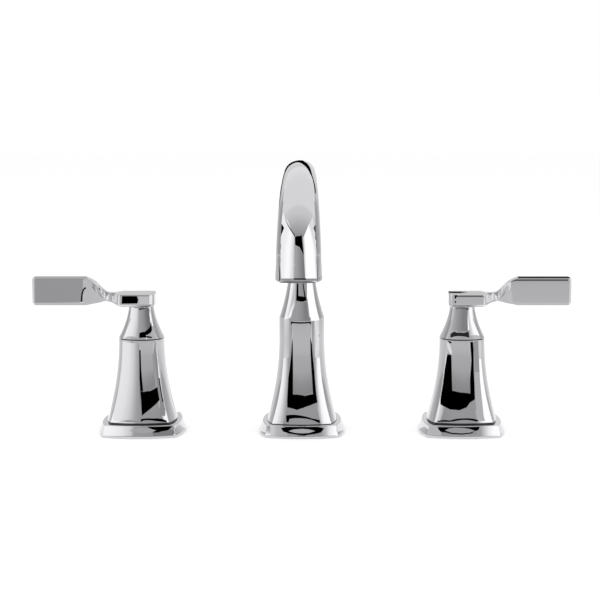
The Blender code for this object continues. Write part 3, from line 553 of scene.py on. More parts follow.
def leverStations(shape):
    # distance from the axis, rise, half width, half thickness, edge radius, share of the twist
    hub, waist, blade = shape["depth"] / 2, shape["waistDepth"] / 2, shape["bladeHeight"] / 2
    hubThin, waistThin, bladeThin = shape["height"] / 2, shape["waistHeight"] / 2, shape["bladeThick"] / 2
    stations = []
    for step in range(shape["cornerSteps"] + 1):
        along = shape["corner"] * (1.0 - math.cos(math.pi / 2 * step / shape["cornerSteps"]))
        edgeIn = quarterInset(shape["hubEdge"], along)
        stations.append((along - shape["inner"], 0.0, hub - quarterInset(shape["corner"], along),
                         hubThin - edgeIn, max(shape["hubEdge"] - edgeIn, shape["leastEdge"]), 0.0))
    for step in range(shape["waistSteps"] + 1):
        share = step / shape["waistSteps"]
        eased = ease(share)
        stations.append((mix(shape["outer"], shape["waist"], share),
                         shape["rise"] * shape["waistRise"] * eased,
                         mix(hub, waist, eased), mix(hubThin, waistThin, eased),
                         mix(shape["hubEdge"], shape["waistEdge"], share), shape["waistTwist"] * share))
    for step in range(1, shape["twistSteps"] + 1):
        share = step / shape["twistSteps"]
        eased = ease(share)
        twist = mix(shape["waistTwist"], 1.0, ease(min(1.0, shape["twistSpeed"] * share)))
        stations.append((mix(shape["waist"], shape["bladeStart"], share),
                         shape["rise"] * mix(shape["waistRise"], 1.0, math.sin(math.pi / 2 * share)),
                         mix(waist, blade, mix(share, eased, shape["bladeEase"])),
                         mix(waistThin, bladeThin, share),
                         mix(shape["waistEdge"], shape["bladeEdge"], share), twist))
    for step in range(shape["cornerSteps"], -1, -1):
        along = shape["bladeCorner"] * (1.0 - math.cos(math.pi / 2 * step / shape["cornerSteps"]))
        edgeIn = quarterInset(shape["bladeEdge"], along)
        stations.append((shape["reach"] - along, shape["rise"],
                         blade - quarterInset(shape["bladeCorner"], along), bladeThin - edgeIn,
                         max(shape["bladeEdge"] - edgeIn, shape["leastEdge"]), 1.0))
    return stations


def makeLever(side, sign):
    shape = leverShape
    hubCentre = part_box(side + "_skirt")[1].z + flushGap + shape["height"] / 2
    rings = []
    for distance, rise, halfWide, halfThin, edge, share in leverStations(shape):
        roll = math.radians(shape["twist"] * share)
        ring = []
        for wide, thin in barSection(halfWide, halfThin, edge, shape):
            y = wide * math.cos(roll) - thin * math.sin(roll)
            z = wide * math.sin(roll) + thin * math.cos(roll)
            ring.append((valveX[side] + sign * distance, y, hubCentre + rise + z))
        rings.append(ring)
    piece = loftRings(side + "_lever_casting", rings)
    cleanNormals(piece)
    deselectAll()
    bossTop = hubCentre - shape["height"] / 4
    bpy.ops.mesh.primitive_cylinder_add(vertices=shape["bossSides"], radius=shape["boss"] / 2,
                                        depth=bossTop - shape["bossBottom"],
                                        location=(valveX[side], 0.0, (bossTop + shape["bossBottom"]) / 2))
    boss = bpy.context.object
    step = piece.modifiers.new("boss", "BOOLEAN")
    step.operation = "UNION"
    step.object = boss
    applyAll(piece)
    bpy.data.objects.remove(boss, do_unlink=True)
    return finishPiece(piece, side + "_lever_casting", side + "_handle", chrome,
                       [side + "_lever", side + "_handle_insert"])


for side, sign in sides.items():
    makeLever(side, sign)
print("levers ready")


# spout: body, shoulder, neck, arch and square outlet in one casting
spoutShape = {"shoulder": 0.0732, "neckTop": 0.1220, "neckPower": 2.3, "neckRings": 26, "reach": 0.1200,
              "archRise": 0.0459, "archRings": 72, "outletWidth": 0.0264, "outletDepth": 0.0236,
              "outletHeight": 0.1090, "outletBow": 0.230, "rim": 0.0015, "mouth": 0.0208,
              "mouthDepth": 0.0106, "mouthFit": 1.06, "steps": 16, "socket": 0.0211, "socketFit": 1.05,
              "socketTop": 0.0450, "socketLow": 0.0280, "waterway": 0.0092, "waterwayRings": 24,
              "rimRings": 6, "insideRings": 6, "wall": 0.0025, "edge": 0.00032, "edgeAngle": 23.0}
# place along the arch, half width, half depth and bow
archTable = ((0.00, 0.530, 0.593, 0.330), (0.25, 0.550, 0.545, 0.380), (0.50, 0.645, 0.525, 0.402),
             (0.65, 0.755, 0.580, 0.387), (0.75, 0.832, 0.670, 0.350), (0.90, 0.918, 0.820, 0.270),
             (1.00, 0.955, 0.900, 0.240))


def smoothTable(table, share, column):
    # the table is read with a smooth curve through its rows, so that the casting has no kinks
    places = [row[0] for row in table]
    values = [row[column] for row in table]
    k = max(i for i in range(len(places) - 1) if share >= places[i])
    slopes = []
    for i in range(len(places)):
        if i == 0 or i == len(places) - 1:
            slopes.append(0.0)
        else:
            slopes.append((values[i + 1] - values[i - 1]) / (places[i + 1] - places[i - 1]))
    width = places[k + 1] - places[k]
    t = (share - places[k]) / width
    return ((2 * t ** 3 - 3 * t ** 2 + 1) * values[k] + (t ** 3 - 2 * t ** 2 + t) * width * slopes[k]
            + (3 * t ** 2 - 2 * t ** 3) * values[k + 1] + (t ** 3 - t ** 2) * width * slopes[k + 1])


def archSection(share):
    shape = spoutShape
    return (shape["outletWidth"] / 2 * smoothTable(archTable, share, 1),
            shape["outletDepth"] / 2 * smoothTable(archTable, share, 2), smoothTable(archTable, share, 3))


def archPlace(share):
    shape = spoutShape
    angle = math.pi * share
    half = shape["reach"] / 2
    centre = Vector((0.0, -half * (1.0 - math.cos(angle)),
                     shape["neckTop"] + shape["archRise"] * math.sin(angle)))
    outward = Vector((0.0, shape["archRise"] * math.cos(angle), half * math.sin(angle))).normalized()
    return centre, outward


def makeSpout():
    shape = spoutShape
    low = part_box("spout")[0].z
    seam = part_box("left_body")[1].z
    steps = shape["steps"]
    rings = []

    def flat(halfWidth, halfDepth, bow, height):
        rings.append([Vector((x, y, height)) for x, y in bowedRing(halfWidth, halfDepth, bow, steps)])

    def slanted(centre, outward, halfWidth, halfDepth, bow):
        rings.append([centre + Vector((u, 0.0, 0.0)) + outward * v
                      for u, v in bowedRing(halfWidth, halfDepth, bow, steps)])

    for half, height, bow in flareRings(low, seam, bodyShape):
        flat(half, half, bow, height)
    endWide, endDeep, endBow = archSection(0.0)
    for step in range(shape["neckRings"]):
        share = step / shape["neckRings"]
        fall = (1.0 - share) ** shape["neckPower"]
        flat(mix(endWide, bodyShape["topWidth"] / 2, fall), mix(endDeep, bodyShape["topWidth"] / 2, fall),
             mix(endBow, bodyShape["bow"], fall), mix(shape["shoulder"], shape["neckTop"], share))
    for step in range(shape["archRings"] + 1):
        share = step / shape["archRings"]
        wide, deep, bow = archSection(share)
        centre, outward = archPlace(share)
        slanted(centre, outward, wide, deep, bow)

    def drop(halfWidth, halfDepth, bow, height):
        rings.append([Vector((u, -shape["reach"] - v, height))
                      for u, v in bowedRing(halfWidth, halfDepth, bow, steps)])

    wide, deep = shape["outletWidth"] / 2, shape["outletDepth"] / 2
    for step in range(shape["rimRings"] + 1):
        angle = math.pi / 2 * step / shape["rimRings"]
        inset = shape["rim"] * (1.0 - math.cos(angle))
        drop(wide - inset, deep - inset, shape["outletBow"],
             shape["outletHeight"] + shape["rim"] * (1.0 - math.sin(angle)))
    mouth, ceiling = shape["mouth"] / 2 * shape["mouthFit"], shape["outletHeight"] + shape["mouthDepth"]
    bore = shape["waterway"] / 2
    drop(mouth, mouth, roundBow, shape["outletHeight"])
    drop(mouth, mouth, roundBow, ceiling)
    drop(bore, bore, roundBow, ceiling)
    for step in range(shape["waterwayRings"], -1, -1):
        centre, outward = archPlace(step / shape["waterwayRings"])
        slanted(centre, outward, bore, bore, roundBow)
    flat(bore, bore, roundBow, shape["socketTop"])
    socket = shape["socket"] / 2 * shape["socketFit"]
    flat(socket, socket, roundBow, shape["socketTop"])
    flat(socket, socket, roundBow, shape["socketLow"])
    for step in range(shape["insideRings"] + 1):
        height = mix(shape["socketLow"], low, step / shape["insideRings"])
        half = flareHalf(height, low, seam, bodyShape) - shape["wall"]
        flat(half, half, flareBow(height, low, seam, bodyShape), height)
    piece = loftRings("spout_casting", rings, closed=True)
    return finishPiece(piece, "spout_casting", "faucet", chrome, ["spout"],
                       edge=shape["edge"], angle=shape["edgeAngle"])


makeSpout()
print("spout ready")


# parts under the deck and inside: the same forms with their edges broken, as turned and milled parts have;
# a width for each kind of part
hardParts = {"mounting_nut": 0.0004, "backing_washer": 0.0001, "valve_body": 0.0003,
             "cartridge_housing": 0.0002, "shank": 0.0003, "supply_tee": 0.0004, "aerator_housing": 0.0002}
hardEdge = {"segments": 2, "angle": 35.0, "flatAngle": 1.0}


def breakEdges(nodeName, width):
    node = nodes[nodeName]
    slotName = node.data.materials[0].name.split(".")[0]
    piece = bpy.data.objects.new(nodeName + "_finished", node.data.copy())
    scene.collection.objects.link(piece)
    piece.matrix_world = node.matrix_world.copy()
    onlySelect(piece)
    bpy.ops.object.mode_set(mode="EDIT")
    bpy.ops.mesh.select_all(action="SELECT")
    bpy.ops.mesh.remove_doubles(threshold=mergeDistance)
    bpy.ops.mesh.dissolve_limited(angle_limit=math.radians(hardEdge["flatAngle"]))
    bpy.ops.object.mode_set(mode="OBJECT")
    return finishPiece(piece, nodeName + "_finished", "faucet", materials[slotName], [nodeName],
                       edge=width, segments=hardEdge["segments"], angle=hardEdge["angle"])


for nodeName in sorted(nodes):
    for partName, width in hardParts.items():
        if nodeName.endswith(partName):
            breakEdges(nodeName, width)
print("hard parts ready")


# studio: pale floor, white surround and cards that only the metal sees
studio = {"floorSize": 12.0, "floorPaint": 0.90, "floorGlow": 0.27, "surround": 0.80, "surroundSeen": 1.0,
          "rampTop": 2.0}
acrossX, acrossY = (1.0, 0.0, 0.0), (0.0, 1.0, 0.0)


def glowMaterial(name, ramp, axis):
    # the ramp lists (place, brightness) pairs along one direction of the studio
    made = bpy.data.materials.new(name)
    made.use_nodes = True
    tree, link = made.node_tree.nodes, made.node_tree.links.new
    tree.clear()
    output = tree.new("ShaderNodeOutputMaterial")
    glow = tree.new("ShaderNodeEmission")
    link(glow.outputs["Emission"], output.inputs["Surface"])
    if len(ramp) == 1:
        glow.inputs["Strength"].default_value = ramp[0][1]
        return made
    start, reach = ramp[0][0], ramp[-1][0] - ramp[0][0]
    place = tree.new("ShaderNodeTexCoord")
    along = tree.new("ShaderNodeVectorMath")
    along.operation = "DOT_PRODUCT"
    along.inputs[1].default_value = axis
    spread = tree.new("ShaderNodeMapRange")
    spread.inputs["From Min"].default_value = start
    spread.inputs["From Max"].default_value = start + reach
    steps = tree.new("ShaderNodeValToRGB")
    lift = tree.new("ShaderNodeMath")
    lift.operation = "MULTIPLY"
    lift.inputs[1].default_value = studio["rampTop"]
    stops = steps.color_ramp.elements
    while len(stops) < len(ramp):
        stops.new(0.5)
    for stop, (at, brightness) in zip(stops, ramp):
        stop.position = (at - start) / reach
        stop.color = (*[brightness / studio["rampTop"]] * 3, 1.0)
    link(place.outputs["Object"], along.inputs[0])
    link(along.outputs["Value"], spread.inputs["Value"])
    link(spread.outputs["Result"], steps.inputs["Fac"])
    link(steps.outputs["Color"], lift.inputs[0])
    link(lift.outputs["Value"], glow.inputs["Strength"])
    return made


def floorMaterial():
    made = bpy.data.materials.new("pale_floor")
    made.use_nodes = True
    tree, link = made.node_tree.nodes, made.node_tree.links.new
    tree.clear()
    output = tree.new("ShaderNodeOutputMaterial")
    paint = tree.new("ShaderNodeBsdfDiffuse")
    paint.inputs["Color"].default_value = (*[studio["floorPaint"]] * 3, 1.0)
    glow = tree.new("ShaderNodeEmission")
    both = tree.new("ShaderNodeAddShader")
    rays = tree.new("ShaderNodeLightPath")
    seen = tree.new("ShaderNodeMath")
    seen.operation = "MAXIMUM"
    lift = tree.new("ShaderNodeMath")
    lift.operation = "MULTIPLY"
    lift.inputs[1].default_value = studio["floorGlow"]
    link(rays.outputs["Is Camera Ray"], seen.inputs[0])
    link(rays.outputs["Is Glossy Ray"], seen.inputs[1])
    link(seen.outputs[0], lift.inputs[0])
    link(lift.outputs[0], glow.inputs["Strength"])
    link(paint.outputs["BSDF"], both.inputs[0])
    link(glow.outputs["Emission"], both.inputs[1])
    link(both.outputs["Shader"], output.inputs["Surface"])
    return made


def makeSurround():
    world = bpy.data.worlds.new("studio")
    scene.world = world
    world.use_nodes = True
    tree, link = world.node_tree.nodes, world.node_tree.links.new
    background = tree["Background"]
    background.inputs["Color"].default_value = (1.0, 1.0, 1.0, 1.0)
    paths = tree.new("ShaderNodeLightPath")
    seenDirect = tree.new("ShaderNodeMath")
    seenDirect.operation = "MAXIMUM"
    pick = tree.new("ShaderNodeMapRange")
    pick.inputs["To Min"].default_value = studio["surround"]
    pick.inputs["To Max"].default_value = studio["surroundSeen"]
    link(paths.outputs["Is Camera Ray"], seenDirect.inputs[0])
    link(paths.outputs["Is Glossy Ray"], seenDirect.inputs[1])
    link(seenDirect.outputs[0], pick.inputs["Value"])
    link(pick.outputs["Result"], background.inputs["Strength"])


def makeCard(name, corners, ramp, axis=upAxis):
    mesh = bpy.data.meshes.new("card_" + name)
    mesh.from_pydata(corners, [], [list(range(len(corners)))])
    mesh.materials.append(glowMaterial("card_" + name, ramp, axis))
    card = bpy.data.objects.new("card_" + name, mesh)
    scene.collection.objects.link(card)
    card.visible_camera = False
    card.visible_diffuse = False
    card.visible_shadow = False
    card.visible_transmission = False


aroundCorners = ((0, 0), (1, 0), (1, 1), (0, 1))  # which end of each span a corner takes


def standing(y, spanX, spanZ):
    return [(spanX[i], y, spanZ[k]) for i, k in aroundCorners]


def lying(height, nearY, nearX, farY, farX):
    return [((nearX, farX)[k][i], (nearY, farY)[k], height) for i, k in aroundCorners]


cameraAt = {"place": (0.014, -1.000, 0.205), "pitch": 7.0, "lens": 95.46, "sensor": 36.0, "shiftX": -0.0399,
            "shiftY": 0.0045, "pictureSize": 600}
cameraData = bpy.data.cameras.new("camera")
camera = bpy.data.objects.new("camera", cameraData)
scene.collection.objects.link(camera)
camera.location = cameraAt["place"]
camera.rotation_euler = (math.radians(90.0 - cameraAt["pitch"]), 0.0, 0.0)
cameraData.sensor_width = cameraAt["sensor"]
cameraData.lens = cameraAt["lens"]
cameraData.shift_x = cameraAt["shiftX"]
cameraData.shift_y = cameraAt["shiftY"]
cameraData.clip_start = 0.01
cameraData.clip_end = 50.0
scene.camera = camera


def gatherMetal():
    # all that the camera can see of the faucet, with the piece that each face belongs to
    points, faces, owners = [], [], []
    for piece in scene.objects:
        if piece.type == "MESH" and not piece.hide_render:
            start = len(points)
            points += [vertex.co for vertex in piece.data.vertices]
            for face in piece.data.polygons:
                faces.append([start + i for i in face.vertices])
                owners.append((piece, face.index))
    return BVHTree.FromPolygons(points, faces), owners


metal, metalOwners = gatherMetal()

# how many pixels round a picked point the metal is searched and how many are enough or the least, how much
# a sight line has to turn back, and how far a card may reach from its unit's axis: sideways, towards the
# middle and in height
reflecting = {"around": 3, "enough": 8, "least": 6, "outward": -0.05, "sideways": 0.190, "inward": 0.048,
              "lowest": -0.005, "bottom": 0.001, "top": 0.400}
aroundPixel = range(-reflecting["around"], reflecting["around"] + 1)


def sightLine(x, y):
    # from the camera through a point of the square picture, counted in pixels from its upper left corner
    size, spread = cameraAt["pictureSize"], cameraAt["sensor"] / cameraAt["lens"]
    across = (x / size - 0.5 + cameraAt["shiftX"]) * spread
    upward = (0.5 - y / size + cameraAt["shiftY"]) * spread
    return (camera.rotation_euler.to_matrix() @ Vector((across, upward, -1.0))).normalized()


def thrownBack(x, y, pieceName, depth):
    # where the metal sends that sight line, on the upright plane at this depth
    ray = sightLine(x, y)
    place, _, found, _ = metal.ray_cast(camera.location, ray)
    if place is None or metalOwners[found][0].name != pieceName:
        return None
    mesh = metalOwners[found][0].data
    face = mesh.polygons[metalOwners[found][1]]
    shares = poly_3d_calc([mesh.vertices[i].co for i in face.vertices], place)
    normal = Vector()
    for share, corner in zip(shares, face.loop_indices):
        normal += share * mesh.corner_normals[corner].vector
    thrown = ray.reflect(normal.normalized())
    if thrown.y > reflecting["outward"]:
        return None
    return place + thrown * ((depth - place.y) / thrown.y)


def cardCorner(x, y, pieceName, depth):
    # the nearest pixels that show the piece are evened out, so that a point on its very edge counts too
    column, row = int(x - 0.5), int(y - 0.5)
    nearby = [(column + right + 0.5, row + down + 0.5) for down in aroundPixel for right in aroundPixel]
    nearby.sort(key=lambda pixel: math.hypot(pixel[0] - x, pixel[1] - y))
    steps, places = [], []
    for pixelX, pixelY in nearby:
        place = thrownBack(pixelX, pixelY, pieceName, depth)
        if place is not None:
            steps.append(Vector((1.0, pixelX - x, pixelY - y)))
            places.append(place)
        if len(places) == reflecting["enough"]:
            break
    if len(places) < reflecting["least"]:
        return places[0] if places else None
    square = Matrix([[sum(step[i] * step[j] for step in steps) for j in range(3)] for i in range(3)])
    even = square.inverted_safe()[0]
    return sum((place * even.dot(step) for place, step in zip(places, steps)), Vector())


def mirroredCard(name, mirror, distance, outline, shade):
    pieceName, unit = mirror + "_casting", mirror.split("_")[0]
    axisX = valveX.get(unit, 0.0)
    corners = []
    for x, y in outline:
        corner = cardCorner(x, y, pieceName, -distance)
        if corner is None or not reflecting["lowest"] < corner.z < reflecting["top"]:
            continue
        aside = corner.x - axisX
        if abs(aside) < reflecting["sideways"] and -sides.get(unit, 0.0) * aside < reflecting["inward"]:
            corners.append((corner.x, -distance, max(corner.z, reflecting["bottom"])))
    if isinstance(shade, float):
        ramp = [(0.0, shade)]
    else:
        ramp = [(axisX + at, brightness) for at, brightness in shade]
    makeCard(name, corners, ramp, acrossX)


deselectAll()
bpy.ops.mesh.primitive_plane_add(size=studio["floorSize"], location=(0.0, 0.0, 0.0))
floor = bpy.context.object
floor.name = "floor"
floor.data.materials.append(floorMaterial())
makeSurround()

# far cards, the panels of the set: corners, brightness along a direction, direction
farCards = {
    "front_panel": (standing(-1.2, (-0.78, 0.80), (0.0, 0.47)),
                    [(0.0, 0.60), (0.12, 0.555), (0.21, 0.42), (0.28, 0.36), (0.39, 0.46), (0.47, 0.46)],
                    upAxis),
    "front_middle": (standing(-1.2, (-0.70, 0.70), (0.47, 1.0)),
                     [(0.47, 0.46), (0.66, 0.42), (1.0, 0.44)], upAxis),
    "front_top": (standing(-1.25, (-4.0, 4.0), (0.90, 8.0)),
                  [(0.90, 0.44), (1.08, 0.48), (1.34, 0.56), (1.68, 0.66), (2.25, 0.76), (3.1, 0.84),
                   (8.0, 0.95)], upAxis),
    "soft_right": (standing(-1.21, (0.62, 3.2), (0.0, 1.1)),
                   [(0.90, 0.46), (1.10, 0.47), (1.28, 0.60), (1.40, 0.86), (1.60, 1.38), (1.85, 1.48),
                    (2.2, 1.60)], (1.0, 0.0, 1.0)),
    "soft_left": (standing(-1.21, (-3.2, -0.62), (0.0, 1.1)),
                  [(1.10, 0.48), (1.28, 0.52), (1.60, 0.92), (1.75, 1.12), (1.95, 1.28), (2.2, 1.40)],
                  (-1.0, 0.0, 1.0)),
    "floor_front": (lying(0.004, -0.30, (-0.198, 0.198), -1.2, (-0.78, 0.80)),
                    [(-1.2, 0.60), (-0.30, 0.70)], acrossY),
    "floor_right": (lying(0.004, -0.10, (0.085, 1.2), -1.2, (0.80, 3.2)),
                    [(-0.30, 0.46), (-0.06, 0.52), (0.01, 0.80), (0.06, 1.10), (0.14, 1.15), (0.3, 0.98)],
                    (1.0, 1.0, 0.0)),
    "floor_left": (lying(0.004, -0.10, (-1.2, -0.085), -1.2, (-3.2, -0.78)),
                   [(-0.30, 0.48), (-0.10, 0.50), (-0.02, 0.64), (0.05, 0.80), (0.18, 0.92), (0.5, 1.0)],
                   (-1.0, 1.0, 0.0)),
    "back_left": (standing(1.5, (-3.0, -0.12), (0.0, 1.4)),
                  [(-3.0, 0.46), (-1.8, 0.46), (-1.45, 0.54), (-1.09, 0.62), (-0.76, 0.68), (-0.4, 0.71),
                   (-0.12, 0.76)], acrossX),
    "back_middle": (standing(1.5, (-0.12, 0.12), (0.0, 1.4)), [(-0.12, 0.76), (0.12, 0.84)], acrossX),
    "back_right": (standing(1.5, (0.12, 3.0), (0.0, 1.4)),
                   [(0.12, 0.84), (0.4, 0.84), (0.76, 0.76), (1.09, 0.66), (1.45, 0.57), (1.8, 0.50),
                    (3.0, 0.48)], acrossX),
    "floor_back_left": (lying(0.004, 0.10, (-0.70, -0.02), 1.5, (-3.0, -0.12)),
                        [(-3.0, 0.60), (-0.5, 0.70), (-0.02, 0.85)], acrossX),
    "floor_back_right": (lying(0.004, 0.10, (0.02, 0.70), 1.5, (0.12, 3.0)),
                         [(0.02, 1.0), (0.5, 0.75), (3.0, 0.60)], acrossX),
    "back_high": (standing(1.45, (-1.3, 1.3), (0.62, 2.0)),
                  [(0.62, 0.90), (0.95, 0.82), (1.05, 0.86), (1.2, 1.05), (2.0, 1.0)], upAxis),
}
for name, (corners, ramp, axis) in farCards.items():
    makeCard(name, corners, ramp, axis)
print("far cards ready:", len(farCards))

# cards close to the spout: outlines as (x, z), or (y, z) for those at its sides
crown = [(-0.075, 0.150), (-0.075, 0.176), (-0.045, 0.184), (-0.024, 0.199), (-0.006, 0.203), (0.009, 0.221),
         (0.030, 0.238), (0.050, 0.251), (0.060, 0.250), (0.108, 0.240), (0.120, 0.230), (0.116, 0.214),
         (0.095, 0.206), (0.075, 0.215), (0.059, 0.232), (0.040, 0.220), (0.015, 0.200), (0.005, 0.190),
         (0.000, 0.172), (-0.010, 0.150)]
leftEdge = [(-0.0162, 0.106), (-0.0138, 0.106), (-0.0139, 0.122), (-0.0154, 0.132), (-0.0215, 0.1495),
            (-0.0245, 0.1495), (-0.0175, 0.132), (-0.0164, 0.122)]
rightEdge = [(0.0136, 0.106), (0.0150, 0.106), (0.0149, 0.122), (0.0164, 0.132), (0.0210, 0.146),
             (0.0195, 0.146), (0.0152, 0.132), (0.0135, 0.122)]
leftSide = [(-0.1385, 0.106), (-0.1275, 0.106), (-0.1275, 0.152), (-0.1385, 0.152)]
rightSide = [(-0.1365, 0.106), (-0.1275, 0.106), (-0.1275, 0.152), (-0.1365, 0.152)]
for name, outline, y, brightness in (("crown_dark", crown, 0.030, 0.0),
                                     ("outlet_left_edge", leftEdge, -0.1334, 0.0),
                                     ("outlet_right_edge", rightEdge, -0.1334, 0.22)):
    makeCard(name, [(x, y, z) for x, z in outline], [(0.0, brightness)])
for name, outline, x, brightness in (("outlet_left_dark", leftSide, -0.020, 0.0),
                                     ("outlet_right_dark", rightSide, 0.020, 0.14)):
    makeCard(name, [(x, y, z) for y, z in outline], [(0.0, brightness)])
lowDark = {"z": 0.1055, "nearY": -0.146, "farY": -0.1235, "spanX": (-0.0125, 0.0105), "brightness": 0.22}
makeCard("outlet_low_dark", lying(lowDark["z"], lowDark["nearY"], lowDark["spanX"], lowDark["farY"],
                                  lowDark["spanX"]), [(0.0, lowDark["brightness"])])

# cards close to the handles, counted from each valve's axis: upright ones with their y, level ones with
# their z, then how far they reach and their brightness
uprightCards = {
    "left": {"hub_back": (0.030, (-0.021, 0.0125), (0.0905, 0.0937), [(0.0, 0.70)]),
             "hub_back_high": (0.030, (-0.021, 0.0125), (0.0937, 0.0990), [(0.0, 0.62)])},
    "right": {"hub_back_line": (0.030, (-0.0125, 0.0060), (0.0921, 0.0937), [(0.0015, 0.02), (0.0060, 0.60)]),
              "hub_back": (0.030, (0.0060, 0.021), (0.0921, 0.0937), [(0.0, 0.66)]),
              "hub_back_low": (0.030, (-0.0125, 0.021), (0.0905, 0.0921), [(0.0, 0.74)]),
              "hub_back_high": (0.030, (-0.0125, 0.021), (0.0937, 0.0990), [(0.0, 0.52)]),
              "hub_line": (-0.030, (-0.0055, 0.0170), (0.0854, 0.0885), [(0.0, 0.14)]),
              "blade_line": (-0.030, (0.0340, 0.0712), (0.0944, 0.0985), [(0.0, 0.10)])},
}
levelCards = {
    "left": {"twist_under": (0.0786, (-0.0700, -0.0195), (-0.026, 0.012), 0.76),
             "blade_over": (0.1015, (-0.0705, -0.0330), (-0.004, 0.012), 0.62)},
    "right": {"twist_under": (0.0786, (0.0195, 0.0700), (-0.026, 0.012), 0.76),
              "blade_over": (0.1015, (0.0345, 0.0705), (-0.0045, 0.0035), 0.0)},
}
twistCard = {"y": -0.0125, "glow": [(0.0150, 1.35), (0.0190, 1.15), (0.0225, 0.80), (0.0325, 0.78)],
             "front": [(0.0150, 0.0775), (0.0325, 0.0775), (0.0325, 0.0975), (0.0195, 0.0897),
                       (0.0150, 0.0890)],
             "line": [(0.0195, 0.0905), (0.0330, 0.0985), (0.0345, 0.0985), (0.0345, 0.1025),
                      (0.0330, 0.1025), (0.0195, 0.0950)]}
for side, sign in sides.items():
    axisX = valveX[side]
    for name, (y, (first, last), spanZ, ramp) in uprightCards[side].items():
        makeCard(side + "_" + name, standing(y, (first + axisX, last + axisX), spanZ),
                 [(at + axisX, brightness) for at, brightness in ramp], acrossX)
    for name, (z, (first, last), (nearY, farY), brightness) in levelCards[side].items():
        spanX = (first + axisX, last + axisX)
        makeCard(side + "_" + name, lying(z, nearY, spanX, farY, spanX), [(0.0, brightness)])
    makeCard(side + "_twist_front", [(axisX + sign * x, twistCard["y"], z) for x, z in twistCard["front"]],
             sorted((axisX + sign * at, brightness) for at, brightness in twistCard["glow"]), acrossX)
    makeCard(side + "_twist_line", [(axisX + sign * x, twistCard["y"], z) for x, z in twistCard["line"]],
             [(0.0, 0.0)])
print("handle cards ready")
